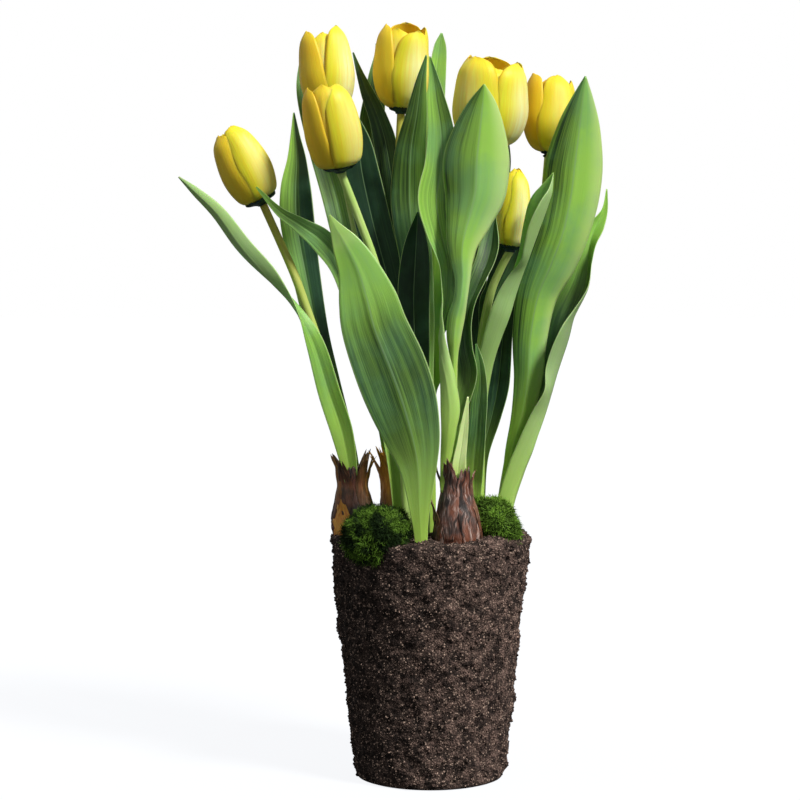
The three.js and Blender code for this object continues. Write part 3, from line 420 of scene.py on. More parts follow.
# The measures of a loose scale: where it lies round its bulb, the shares of the
# height at which it starts, ends and comes free, its half width, how pointed it is,
# how far it curls away, how torn its tip is, its twist and slant, how golden it is
# and the seed of its crumples.
SCALE_MEASURES = (
    "angle", "low", "high", "free", "width", "point", "curl", "tear", "twist", "slant", "gold",
    "seed",
)

# Bulbs: foot, height, widest radius, lean of the neck along x and y, turn, how
# strong the painted highlight on the ridges of the tunic is (strongest on the lit
# front bulb), and the loose scales.
BULBS = {
    "left": {
        "foot": (-0.054, -0.005, 0.16), "height": 0.066, "radius": 0.017,
        "lean": (-0.003, 0.0), "turn": 0.4, "frost": 0.15,
        "scales": (
            (-1.9, 0.5, 1.08, 0.82, 0.006, 0.35, 0.05, 0.06, 0.3, -0.3, 0.05, 2),
            (-0.9, 0.4, 1.12, 0.85, 0.0065, 0.3, 0.045, 0.05, -0.3, 0.2, 0.1, 3),
            (-2.7, 0.45, 1.12, 0.78, 0.0055, 0.3, 0.02, 0.04, 0.2, 0.0, 0.3, 4),
            (-0.2, 0.5, 1.1, 0.75, 0.006, 0.35, 0.03, 0.04, 0.4, 0.3, 0.4, 5),
            (-2.15, 0.12, 0.62, 0.5, 0.0105, 0.3, 0.05, 0.08, 0.1, 0.0, 1.0, 6),
            (0.9, 0.4, 1.15, 0.8, 0.007, 0.4, 0.04, 0.06, 0.2, 0.0, 0.2, 7),
            (2.3, 0.4, 1.1, 0.8, 0.007, 0.4, 0.06, 0.06, -0.2, 0.0, 0.1, 8),
        ),
    },
    "middle": {
        "foot": (-0.017, 0.015, 0.16), "height": 0.066, "radius": 0.015,
        "lean": (-0.011, 0.0), "turn": 2.0, "frost": 0.1,
        "scales": (
            (-2.6, 0.5, 1.14, 0.8, 0.006, 0.3, 0.03, 0.05, 0.3, -0.2, 1.0, 12),
            (-1.9, 0.4, 1.18, 0.85, 0.0052, 0.4, 0.04, 0.08, -0.3, -0.1, 1.0, 13),
            (-1.2, 0.45, 1.2, 0.85, 0.006, 0.4, 0.04, 0.08, 0.2, 0.0, 0.75, 14),
            (-0.2, 0.5, 1.15, 0.8, 0.006, 0.4, 0.07, 0.06, 0.4, 0.2, 0.3, 15),
            (2.9, 0.5, 1.1, 0.75, 0.0055, 0.4, 0.02, 0.04, 0.2, 0.0, 0.8, 16),
            (1.2, 0.4, 1.15, 0.8, 0.007, 0.4, 0.06, 0.06, 0.2, 0.0, 0.3, 17),
        ),
    },
    "front": {
        "foot": (0.02, -0.043, 0.158), "height": 0.068, "radius": 0.017,
        "lean": (-0.002, -0.001), "turn": 1.1, "frost": 1.0,
        "scales": (
            (-2.0, 0.3, 1.12, 0.9, 0.0075, 0.35, 0.03, 0.05, 0.1, -0.1, 0.0, 22),
            (-1.1, 0.2, 1.03, 0.9, 0.008, 0.3, 0.03, 0.06, -0.1, 0.1, 0.0, 23),
            (-2.9, 0.15, 0.72, 0.45, 0.009, 0.5, 0.06, 0.05, 0.3, 0.0, 0.12, 24),
            (-0.1, 0.3, 0.98, 0.85, 0.007, 0.4, 0.05, 0.06, 0.2, 0.0, 0.05, 25),
            (3.0, 0.5, 1.1, 0.8, 0.005, 0.5, 0.04, 0.05, 0.2, 0.0, 0.15, 26),
            (1.4, 0.4, 1.08, 0.85, 0.008, 0.4, 0.04, 0.06, -0.2, 0.0, 0.0, 27),
        ),
    },
}

# Moss cushions: centre, half sizes, turn and how far the crown leans sideways.
MOSSES = {
    "front_left": {
        "centre": (-0.0385, -0.0495, 0.182), "half": (0.0235, 0.0215, 0.0195),
        "turn": 0.3, "shear": 0.12,
    },
    "right": {
        "centre": (0.0455, -0.028, 0.188), "half": (0.0175, 0.019, 0.018),
        "turn": 1.7, "shear": -0.35,
    },
}

# The clump fans out in depth as it rises, and what leans back reaches higher.
FAN_START = 0.25
FAN_HEIGHT = 0.3
FAN_LEVEL = 0.35
FAN_SPREAD = 0.6
FAN_REACH = 1 / 1.5

# The block of soil.
SOIL_HEIGHT = 0.177
SOIL_TOP_RADIUS = 0.0725
SOIL_FOOT_RADIUS = 0.0545
SOIL_EDGE = 0.003
SOIL_ROUGHNESS = 0.0015

# Low heaps on the top of the block: place, width and height.
SOIL_HEAPS = (
    (0.062, -0.018, 0.014, 0.005), (0.048, -0.046, 0.012, 0.003), (0.002, -0.062, 0.007, 0.004),
    (-0.064, -0.012, 0.012, 0.002),
)

# The side of the clump, seen from above, that faces the lamp: petals turned towards
# it are painted lighter and more lemon, those turned away darker and more ochre, as
# painted light and shade; then the tone of a petal turned away, and how much facing
# the lamp adds.
BRIGHT_TURN = math.radians(-35)
SHADED_SIDE_TONE = 0.15
BRIGHT_TONE = 0.75

# The camera, the lamp, the light of the room and the floor.
CAMERA_PLACE = (-0.0218, -1.5, 0.351)
CAMERA_PITCH = math.radians(2.9)
CAMERA_LENS = 92.8
CAMERA_SENSOR = 36.0
CAMERA_REACH = 100
LAMP_FROM = (0.62, -0.56, 0.84)
LAMP_STRENGTH = 4.0
LAMP_WIDTH = math.radians(12)
LAMP_TINT = (1.0, 0.985, 0.95)
ROOM_TINT = (0.98, 0.99, 1.0)
ROOM_STRENGTH = 0.36
FLOOR_SIZE = 60.0
FLOOR_GLOW = (0.97, 0.98, 1.0)
FLOOR_GLOW_STRENGTH = 0.93


# ---- settings ---------------------------------------------------------------


class TulipBladeSettings(bpy.types.PropertyGroup):
    """Sizes and colours of the leaves and stems."""

    thickness: FloatProperty(
        name="Blade thickness", description="Thickness of a leaf at its midrib",
        default=0.0009, min=0.0006, unit="LENGTH",
    )
    foot_radius: FloatProperty(
        name="Stem foot", description="Radius of a stem where it leaves the bulb or soil",
        default=0.0034, min=0.001, unit="LENGTH",
    )
    top_radius: FloatProperty(
        name="Stem top", description="Radius of a stem under its bloom",
        default=0.0029, min=0.001, unit="LENGTH",
    )
    deep_green: FloatVectorProperty(
        name="Deep green", description="Colour of the darkest leaves",
        default=(0.005, 0.03, 0.012), size=3, subtype="COLOR", min=0, max=1,
    )
    fresh_green: FloatVectorProperty(
        name="Fresh green", description="Colour of the lightest leaves",
        default=(0.32, 0.6, 0.09), size=3, subtype="COLOR", min=0, max=1,
    )
    pale_green: FloatVectorProperty(
        name="Pale green", description="Colour of the feet of the leaves",
        default=(0.44, 0.68, 0.1), size=3, subtype="COLOR", min=0, max=1,
    )


class TulipBloomSettings(bpy.types.PropertyGroup):
    """Sizes and colours of the blooms."""

    thickness: FloatProperty(
        name="Petal thickness", description="Thickness of a petal at its middle",
        default=0.0008, min=0.0004, unit="LENGTH",
    )
    yellow: FloatVectorProperty(
        name="Yellow", description="Main colour of the petals",
        default=(0.94, 0.84, 0.035), size=3, subtype="COLOR", min=0, max=1,
    )
    lemon: FloatVectorProperty(
        name="Lemon", description="Colour along the middle of a petal",
        default=(0.98, 0.94, 0.42), size=3, subtype="COLOR", min=0, max=1,
    )
    ochre: FloatVectorProperty(
        name="Ochre", description="Colour of petal margins, tips and streaks",
        default=(0.94, 0.56, 0.02), size=3, subtype="COLOR", min=0, max=1,
    )
    cup: FloatVectorProperty(
        name="Cup", description="Colour of the cup under the petals",
        default=(0.008, 0.028, 0.026), size=3, subtype="COLOR", min=0, max=1,
    )


class TulipGroundSettings(bpy.types.PropertyGroup):
    """Sizes and colours of the soil, moss and bulbs."""

    crumb_size: FloatProperty(
        name="Crumb size", description="Radius of an average crumb of soil",
        default=0.00075, min=0.0002, unit="LENGTH",
    )
    crumb_density: IntProperty(
        name="Crumbs", description="Crumbs on each square metre of the block",
        default=80000, min=0,
    )
    tuft_density: IntProperty(
        name="Moss tufts", description="Tufts on each square metre of moss",
        default=420000, min=0,
    )
    soil: FloatVectorProperty(
        name="Soil", description="Main colour of the soil",
        default=(0.045, 0.029, 0.025), size=3, subtype="COLOR", min=0, max=1,
    )
    fleck: FloatVectorProperty(
        name="Flecks", description="Colour of the dry fibres in the soil",
        default=(0.6, 0.43, 0.34), size=3, subtype="COLOR", min=0, max=1,
    )
    moss: FloatVectorProperty(
        name="Moss", description="Colour deep in the moss",
        default=(0.005, 0.016, 0.003), size=3, subtype="COLOR", min=0, max=1,
    )
    tunic: FloatVectorProperty(
        name="Tunic", description="Main colour of the papery bulb skins",
        default=(0.085, 0.028, 0.015), size=3, subtype="COLOR", min=0, max=1,
    )


# ---- curves and grids -------------------------------------------------------


def spline(points, shares):
    """Points on a uniform Catmull-Rom curve at each share of its length in stations."""
    knots = np.asarray(points, float)
    first = 2 * knots[0] - knots[1]
    last = 2 * knots[-1] - knots[-2]
    padded = np.vstack([first, knots, last])
    place = np.clip(shares, 0, 1) * (len(knots) - 1)
    index = np.minimum(place.astype(int), len(knots) - 2)
    part = (place - index)[:, None]
    before, start, end, after = (padded[index + k] for k in range(4))
    leave = 0.5 * (end - before)
    arrive = 0.5 * (after - start)
    drop = start - end
    cubic = 2 * drop + leave + arrive
    square = -3 * drop - 2 * leave - arrive
    return start + leave * part + square * part**2 + cubic * part**3


def unit(vectors):
    """The vectors at length one."""
    length = np.linalg.norm(vectors, axis=-1, keepdims=True)
    return vectors / np.maximum(length, 1e-12)


def fanned(point):
    """Where a station of the flat clump lies once the clump fans out."""
    x, y, z = point[:3]
    rise = max(0.0, z - FAN_START) / FAN_HEIGHT
    depth = y * (1 + FAN_SPREAD * rise**2)
    reach = 1 + (depth - y) * FAN_REACH
    return (x * reach, depth, FAN_LEVEL + (z - FAN_LEVEL) * reach)


def grid_faces(rows, columns, first=0, flip=False):
    """Quads of a grid of (rows + 1) by (columns + 1) corners."""
    row, column = np.mgrid[0:rows, 0:columns]
    corner = (row * (columns + 1) + column + first).ravel()
    quads = np.stack([corner, corner + 1, corner + columns + 2, corner + columns + 1], axis=1)
    return quads[:, ::-1] if flip else quads


def rim_faces(rows, columns, layer):
    """Quads that close the four edges between a sheet's two faces."""
    width = columns + 1
    left = np.arange(rows) * width
    right = left + columns
    foot = np.arange(columns)
    tip = rows * width + foot
    return np.concatenate([
        np.stack([right, right + layer, right + width + layer, right + width], axis=1),
        np.stack([left, left + width, left + width + layer, left + layer], axis=1),
        np.stack([foot, foot + layer, foot + 1 + layer, foot + 1], axis=1),
        np.stack([tip, tip + 1, tip + 1 + layer, tip + layer], axis=1),
    ])


def round_parts(rings, foot, tip, levels):
    """Points, faces and UVs of rings closed by a point at each end.

    rings[row, corner] are its points; levels holds the height of each ring on
    the UV map, where the foot is at 0 and the tip at 1.
    """
    count, sides = rings.shape[:2]
    flat = grid_faces(count - 1, sides)
    row, column = np.divmod(flat, sides + 1)
    faces = row * sides + column % sides
    shares = np.stack([column / sides, levels[row]], axis=-1).reshape(-1, 2)
    points = np.vstack([rings.reshape(-1, 3), foot, tip])
    first = count * sides
    last = first - sides
    around = np.arange(sides)
    beside = (around + 1) % sides
    ends = [(first, b, a) for a, b in zip(around, beside)]
    ends += [(first + 1, last + a, last + b) for a, b in zip(around, beside)]
    low = [(0.5, 0.0)] * (3 * sides)
    high = [(0.5, 1.0)] * (3 * sides)
    return points, list(faces) + ends, np.vstack([shares, low, high])


def tube_parts(route, radii, sides):
    """Points, faces and UVs of a round tube with flat closed ends."""
    tangent = unit(np.gradient(route, axis=0))
    side = unit(np.cross(tangent[0], [0.0, 1.0, 0.0]))
    sides_along = []
    for step in tangent:
        side = unit(side - step * (side @ step))
        sides_along.append(side)
    right = np.array(sides_along)
    front = np.cross(tangent, right)
    angle = np.linspace(0, TAU, sides, endpoint=False)
    turn = angle[None, :, None]
    ring = right[:, None] * np.cos(turn) + front[:, None] * np.sin(turn)
    rings = route[:, None] + ring * radii[:, None, None]
    return round_parts(rings, route[0], route[-1], np.arange(len(route)) / (len(route) - 1))


def lathe_parts(profile, sides, change):
    """Points, faces and UVs of a turned shape whose profile starts and ends on the axis.

    change(rings, angle) works the rings over before they are closed.
    """
    angle = np.linspace(0, TAU, sides, endpoint=False)
    radius = np.array([p[0] for p in profile[1:-1]])[:, None]
    level = np.array([p[1] for p in profile[1:-1]])[:, None]
    rings = np.stack([
        radius * np.cos(angle), radius * np.sin(angle), level + 0 * angle,
    ], axis=-1)
    rings = change(rings, angle)
    foot = rings[0].mean(0) * [1, 1, 0] + [0, 0, profile[0][1]]
    tip = rings[-1].mean(0) * [1, 1, 0] + [0, 0, profile[-1][1]]
    return round_parts(rings, foot, tip, np.arange(1, len(rings) + 1) / (len(rings) + 1))


def wrinkles(places, scale, seed):
    """A soft random number between about -1 and 1 for each of the places."""
    moved = places * scale + np.array([seed, -seed, 0.0])
    numbers = [noise.noise(Vector(place)) for place in moved.reshape(-1, 3)]
    return np.array(numbers).reshape(places.shape[:-1])


def mesh_object(name, points, faces, layouts=None, smooth=True):
    """A mesh object at the origin, with a pair of UV values for each face corner."""
    mesh = bpy.data.meshes.new(name)
    mesh.from_pydata([tuple(p) for p in points], [], [tuple(int(i) for i in f) for f in faces])
    for title, values in (layouts or {}).items():
        layer = mesh.uv_layers.new(name=title)
        layer.data.foreach_set("uv", np.asarray(values, float).ravel())
    mesh.validate()
    mesh.update()
    mesh.polygons.foreach_set("use_smooth", [smooth] * len(mesh.polygons))
    piece = bpy.data.objects.new(name, mesh)
    bpy.context.scene.collection.objects.link(piece)
    return piece


def paint_points(piece, layer, values):
    """A number on each point of the mesh."""
    field = piece.data.attributes.new(layer, "FLOAT", "POINT")
    field.data.foreach_set("value", np.asarray(values, float).ravel())


def sheet_parts(surface, thickness):
    """Points, faces, UVs and side of a thin closed sheet laid on a surface.

    surface[row, column] are its middle points; thickness is one number for
    each of them. The upper face, side 0, is the one its normals point to.
    """
    rows = len(surface) - 1
    columns = surface.shape[1] - 1
    across = np.gradient(surface, axis=1)
    along = np.gradient(surface, axis=0)
    normal = unit(np.cross(across, along))
    half = (0.5 * thickness)[..., None] * normal
    points = np.concatenate([(surface + half).reshape(-1, 3), (surface - half).reshape(-1, 3)])
    layer = (rows + 1) * (columns + 1)
    faces = np.concatenate([
        grid_faces(rows, columns),
        grid_faces(rows, columns, layer, flip=True),
        rim_faces(rows, columns, layer),
    ])
    share = np.stack(np.meshgrid(
        np.linspace(0, 1, columns + 1), np.linspace(0, 1, rows + 1),
    ), axis=-1).reshape(-1, 2)
    side = np.repeat([0.0, 1.0], layer)
    return points, faces, np.vstack([share, share]), side


def finished(piece, slot, material, *nodes):
    """Gives a piece its material and its place in the frame."""
    piece.data.materials.clear()
    piece.data.materials.append(material)
    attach(piece, BODY)
    if nodes:
        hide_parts(*nodes)
    return piece


# ---- shader helpers ---------------------------------------------------------


def feed(tree, socket, value):
    """Links an input to an output, or sets it to a plain value or a colour."""
    if isinstance(value, bpy.types.NodeSocket):
        tree.links.new(value, socket)
    elif socket.type == "RGBA":
        socket.default_value = (*tuple(value)[:3], 1.0)
    else:
        socket.default_value = value


def add_node(tree, kind, values=None, **settings):
    """A node with its settings, and each input set or linked by name or number."""
    item = tree.nodes.new(kind)
    for key, value in settings.items():
        setattr(item, key, value)
    for key, value in (values or {}).items():
        feed(tree, item.inputs[key], value)
    return item


def mix_color(tree, share, first, second):
    """A blend of two colours."""
    item = add_node(tree, "ShaderNodeMix", data_type="RGBA")
    for number, value in ((0, share), (6, first), (7, second)):
        feed(tree, item.inputs[number], value)
    return item.outputs[2]


def layered(tree, base, *layers):
    """A colour with others laid over it in turn, each where its share is high."""
    for share, over in layers:
        base = mix_color(tree, share, base, over)
    return base


def math_node(tree, operation, *values):
    """One sum, product or other operation on numbers."""
    return add_node(tree, "ShaderNodeMath", dict(enumerate(values)), operation=operation).outputs[0]


def map_range(tree, value, low, high, first=0.0, second=1.0):
    """A number stretched from one range to another, eased at both ends."""
    item = add_node(
        tree, "ShaderNodeMapRange",
        {0: value, 1: low, 2: high, 3: first, 4: second},
        interpolation_type="SMOOTHSTEP",
    )
    return item.outputs[0]


def new_group(name, inputs, outputs):
    """A shader node group with named sockets, and its ends."""
    group = bpy.data.node_groups.new(name, "ShaderNodeTree")
    for title, kind, value in inputs:
        socket = group.interface.new_socket(name=title, in_out="INPUT", socket_type=kind)
        if value is not None:
            socket.default_value = value
    for title, kind in outputs:
        group.interface.new_socket(name=title, in_out="OUTPUT", socket_type=kind)
    return group, group.nodes.new("NodeGroupInput"), group.nodes.new("NodeGroupOutput")


def streak_group():
    """Fine lengthwise veins on a UV map: a mask of streaks and a height."""
    group, start, end = new_group(
        "lengthwise_streaks",
        [
            ("UV", "NodeSocketVector", None),
            ("Veins", "NodeSocketFloat", 60.0),
            ("Breaks", "NodeSocketFloat", 3.0),
            ("Offset", "NodeSocketFloat", 0.0),
        ],
        [("Streaks", "NodeSocketFloat"), ("Height", "NodeSocketFloat")],
    )
    parts = add_node(group, "ShaderNodeSeparateXYZ", {0: start.outputs["UV"]})
    across = math_node(group, "MULTIPLY", parts.outputs[0], start.outputs["Veins"])
    along = math_node(group, "MULTIPLY", parts.outputs[1], start.outputs["Breaks"])
    place = add_node(
        group, "ShaderNodeCombineXYZ", {0: across, 1: along, 2: start.outputs["Offset"]},
    )
    coarse = add_node(
        group, "ShaderNodeTexNoise",
        {"Vector": place.outputs[0], "Scale": 0.35, "Detail": 3.0, "Roughness": 0.6},
    )
    fine = add_node(
        group, "ShaderNodeTexNoise",
        {"Vector": place.outputs[0], "Scale": 1.6, "Detail": 2.0, "Roughness": 0.55},
    )
    both = math_node(group, "ADD", coarse.outputs[0], fine.outputs[0])
    streaks = map_range(group, math_node(group, "MULTIPLY", both, 0.5), 0.36, 0.64)
    group.links.new(streaks, end.inputs["Streaks"])
    group.links.new(fine.outputs[0], end.inputs["Height"])
    return group


def mottle_group():
    """Soft blotches in object space: a broad mask, a fine mask and a height."""
    group, start, end = new_group(
        "mottle",
        [
            ("Broad Scale", "NodeSocketFloat", 30.0),
            ("Fine Scale", "NodeSocketFloat", 600.0),
            ("Offset", "NodeSocketFloat", 0.0),
        ],
        [("Broad", "NodeSocketFloat"), ("Fine", "NodeSocketFloat"), ("Height", "NodeSocketFloat")],
    )
    shift = add_node(
        group, "ShaderNodeVectorMath", {0: object_place(group), 1: start.outputs["Offset"]},
        operation="ADD",
    )
    broad = add_node(
        group, "ShaderNodeTexNoise",
        {"Vector": shift.outputs[0], "Scale": start.outputs["Broad Scale"], "Detail": 4.0},
    )
    fine = add_node(
        group, "ShaderNodeTexNoise",
        {"Vector": shift.outputs[0], "Scale": start.outputs["Fine Scale"], "Detail": 3.0},
    )
    group.links.new(map_range(group, broad.outputs[0], 0.38, 0.62), end.inputs["Broad"])
    group.links.new(map_range(group, fine.outputs[0], 0.35, 0.65), end.inputs["Fine"])
    height = math_node(group, "MULTIPLY_ADD", broad.outputs[0], 0.6, fine.outputs[0])
    group.links.new(height, end.inputs["Height"])
    return group


def place_group(tree, name, **values):
    """One of the shared groups in a material, with its own values."""
    item = tree.nodes.new("ShaderNodeGroup")
    item.node_tree = bpy.data.node_groups[name]
    for key, value in values.items():
        feed(tree, item.inputs[key.replace("_", " ")], value)
    return item


def new_material(name, **constants):
    """An empty material with a Principled shader and its plain values."""
    material = bpy.data.materials.new(name)
    material.use_nodes = True
    tree = material.node_tree
    shader = tree.nodes["Principled BSDF"]
    for key, value in constants.items():
        shader.inputs[key.replace("_", " ")].default_value = value
    return material, tree, shader


def painted(tree, layer):
    """A number painted on the points of a mesh."""
    return add_node(tree, "ShaderNodeAttribute", attribute_name=layer).outputs["Fac"]


def object_place(tree):
    """A place in the piece's own space."""
    return tree.nodes.new("ShaderNodeTexCoord").outputs["Object"]


def uv_place(tree, layout):
    """A UV map, and the two parts of it: across and along the piece."""
    uv = add_node(tree, "ShaderNodeUVMap", uv_map=layout).outputs[0]
    parts = add_node(tree, "ShaderNodeSeparateXYZ", {0: uv})
    return uv, parts.outputs[0], parts.outputs[1]


def from_middle(tree, across):
    """How far across a piece a place is from the line along its middle."""
    return math_node(tree, "ABSOLUTE", math_node(tree, "SUBTRACT", across, 0.5))


def dress(tree, shader, base, rough, relief):
    """Gives a shader its colour, its roughness and its relief.

    rough is a pattern, how much it adds and the least roughness; relief is a
    height, its strength and its depth.
    """
    feed(tree, shader.inputs["Base Color"], base)
    feed(tree, shader.inputs["Roughness"], math_node(tree, "MULTIPLY_ADD", *rough))
    values = dict(zip(("Height", "Strength", "Distance"), relief))
    feed(tree, shader.inputs["Normal"], add_node(tree, "ShaderNodeBump", values).outputs[0])


def shared_groups():
    """Makes the shared shader groups once."""
    if "lengthwise_streaks" not in bpy.data.node_groups:
        streak_group()
    if "mottle" not in bpy.data.node_groups:
        mottle_group()


# ---- finishes ---------------------------------------------------------------

# Colours of the finishes, besides those in the settings.
LEAF_POWDER = (0.14, 0.36, 0.2)
LEAF_PALLOR = (0.66, 0.82, 0.34)
LEAF_RIB = (0.26, 0.43, 0.2)
LEAF_MARGIN = (0.5, 0.68, 0.3)
LEAF_BACK = (0.5, 0.7, 0.3)
LEAF_BACK_STREAK = (0.3, 0.5, 0.17)
STEM_GREEN = (0.4, 0.58, 0.13)
STEM_LINE = (0.66, 0.8, 0.32)
STEM_RIPE = (0.5, 0.42, 0.04)
PETAL_FOOT = (0.7, 0.68, 0.05)
CUP_BLOTCH = (0.02, 0.06, 0.075)
# The fold and crease colours of the tunic are painted shade, and its ridge colour a painted
# highlight.
TUNIC_FOLD_SHADE = (0.01, 0.004, 0.004)
TUNIC_RUST = (0.34, 0.085, 0.025)
TUNIC_RIDGE_HIGHLIGHT = (0.7, 0.56, 0.5)
TUNIC_CREASE_SHADE = (0.008, 0.005, 0.004)
TUNIC_AMBER = (0.72, 0.2, 0.015)
TUNIC_GOLD = (1.0, 0.56, 0.08)
SOIL_DRY = (0.26, 0.17, 0.14)
# The soil's left-side and hollow colours are painted shade.
SOIL_LEFT_SHADE = (0.012, 0.009, 0.008)
SOIL_HOLLOW_SHADE = (0.008, 0.006, 0.005)
MOSS_BLOTCH = (0.02, 0.05, 0.006)
MOSS_FRESH = (0.2, 0.38, 0.04)
FLOOR_GREY = (0.07, 0.072, 0.075)
FLOOR_PALE = (0.08, 0.082, 0.085)


def leaf_finish(settings):
    """Waxy green blades with parallel veins, pale feet, undersides and margins."""
    material, tree, shader = new_material(
        "leaf_wax", IOR=1.4, Coat_Weight=0.12, Coat_Roughness=0.35, Subsurface_Weight=0.3,
        Subsurface_Radius=(0.5, 1.0, 0.2), Subsurface_Scale=0.002,
    )
    uv, across, along = uv_place(tree, "blade")
    tone = painted(tree, "tone")
    shade = painted(tree, "shade")
    offset = math_node(tree, "MULTIPLY", tone, 37.0)
    veins = place_group(tree, "lengthwise_streaks", UV=uv, Veins=90.0, Breaks=5.0, Offset=offset)
    bands = place_group(tree, "lengthwise_streaks", UV=uv, Veins=8.0, Breaks=2.4, Offset=offset)
    blotch = place_group(tree, "mottle", Broad_Scale=28.0, Fine_Scale=900.0)
    streaks = veins.outputs["Streaks"]

    # Green, as light as its tone and painted shade say, with light and dark
    # streaks that are fainter on the dark leaves.
    lift = math_node(tree, "MULTIPLY_ADD", streaks, 0.3, -0.15)
    cloud = math_node(tree, "MULTIPLY_ADD", bands.outputs["Streaks"], 0.28, -0.14)
    strength = map_range(tree, tone, 0.1, 0.8, 0.4, 1.0)
    change = math_node(tree, "MULTIPLY", math_node(tree, "ADD", lift, cloud), strength)
    light = map_range(tree, math_node(tree, "ADD", shade, change), 0.1, 0.85)
    green = mix_color(tree, light, settings.deep_green, settings.fresh_green)

    # Bluish wax powder, pallor where the shade runs high (the pale foot leaf, the pale
    # upper ends and the right halves painted lightest), and the midrib.
    powder = math_node(tree, "MULTIPLY", blotch.outputs["Broad"], bands.outputs["Height"])
    powder = math_node(tree, "MULTIPLY", powder, map_range(tree, tone, 0.1, 0.7, 0.2, 0.75))
    pallor = map_range(tree, shade, 1.05, 1.5)
    centre = from_middle(tree, across)
    rib = map_range(tree, centre, 0.022, 0.006, 0.0, 0.5)

    # The underside, the foot and the margins.
    lines = math_node(tree, "MULTIPLY_ADD", streaks, 0.4, 0.1)
    back = mix_color(tree, lines, LEAF_BACK, LEAF_BACK_STREAK)
    under = math_node(tree, "MULTIPLY", painted(tree, "underside"), 0.75)
    foot = math_node(tree, "MULTIPLY", map_range(tree, along, 0.42, 0.04),
                     map_range(tree, tone, 0.0, 0.4, 0.35, 0.85))
    margin = map_range(tree, centre, 0.476, 0.497, 0.0, 0.6)

    base = layered(
        tree, green, (powder, LEAF_POWDER), (pallor, LEAF_PALLOR), (rib, LEAF_RIB), (under, back),
        (foot, settings.pale_green), (margin, LEAF_MARGIN),
    )
    ridges = math_node(tree, "MULTIPLY", veins.outputs["Height"], map_range(tree, along, 0.95, 0.6))
    dress(tree, shader, base, (blotch.outputs["Fine"], 0.12, 0.36), (ridges, 0.35, 0.4 * MM))
    return material


def stem_finish(settings):
    """Smooth pale stems with faint lengthwise lines, some ochre under their bloom."""
    material, tree, shader = new_material("stem_skin", IOR=1.4, Coat_Weight=0.1, Coat_Roughness=0.3)
    uv = uv_place(tree, "skin")[0]
    lines = place_group(tree, "lengthwise_streaks", UV=uv, Veins=36.0, Breaks=8.0)
    blotch = place_group(tree, "mottle", Broad_Scale=45.0, Fine_Scale=1200.0)
    patches = math_node(tree, "MULTIPLY", blotch.outputs["Broad"], 0.4)
    base = layered(
        tree, STEM_GREEN, (lines.outputs["Streaks"], STEM_LINE), (patches, settings.fresh_green),
        (painted(tree, "ripe"), STEM_RIPE),
    )
    dress(tree, shader, base, (blotch.outputs["Fine"], 0.12, 0.38),
          (lines.outputs["Height"], 0.2, 0.3 * MM))
    return material


def petal_finish(settings):
    """Satin yellow petals, lemon along the middle and ochre at margins and tips, with painted shade
    that turns the petals facing away from the lamp ochre.
    """
    material, tree, shader = new_material(
        "petal_satin", IOR=1.38, Sheen_Weight=0.08, Subsurface_Weight=0.6,
        Subsurface_Radius=(1.0, 0.7, 0.1), Subsurface_Scale=0.0015,
    )
    uv, across, along = uv_place(tree, "petal")
    tone = painted(tree, "tone")
    offset = math_node(tree, "MULTIPLY", tone, 23.0)
    veins = place_group(tree, "lengthwise_streaks", UV=uv, Veins=46.0, Breaks=2.2, Offset=offset)
    centre = from_middle(tree, across)

    # Yellow with lemon low along the middle, stronger on the petals painted as lit, and ochre
    # streaks.
    belly = math_node(tree, "MULTIPLY", map_range(tree, centre, 0.34, 0.05),
                      map_range(tree, along, 0.9, 0.45))
    glow = math_node(tree, "MULTIPLY", belly, map_range(tree, tone, 0.15, 0.8, 0.15, 1.0))
    streaks = math_node(tree, "MULTIPLY", veins.outputs["Streaks"], 0.42)

    # Ochre at the margins and the tip, a greenish foot, and painted shade: petals turned away from
    # the lamp go ochre.
    margin = map_range(tree, centre, 0.4, 0.495, 0.0, 0.7)
    tip = map_range(tree, along, 0.84, 1.0, 0.0, 0.5)
    foot = map_range(tree, along, 0.16, 0.02, 0.0, 0.35)
    shade_ochre = map_range(tree, tone, 0.05, 0.6, 0.85, 0.0)

    base = layered(
        tree, settings.yellow, (glow, settings.lemon), (streaks, settings.ochre),
        (math_node(tree, "MAXIMUM", margin, tip), settings.ochre), (foot, PETAL_FOOT),
        (shade_ochre, settings.ochre),
    )
    dress(tree, shader, base, (veins.outputs["Streaks"], 0.12, 0.42),
          (veins.outputs["Height"], 0.35, 0.5 * MM))
    return material


def cup_finish(settings):
    """Dark blue-green cups under the petals."""
    material, tree, shader = new_material("cup_skin", IOR=1.42)
    blotch = place_group(tree, "mottle", Broad_Scale=220.0, Fine_Scale=1500.0)
    base = mix_color(tree, blotch.outputs["Broad"], settings.cup, CUP_BLOTCH)
    dress(tree, shader, base, (blotch.outputs["Fine"], 0.2, 0.35),
          (blotch.outputs["Height"], 0.25, 0.3 * MM))
    return material


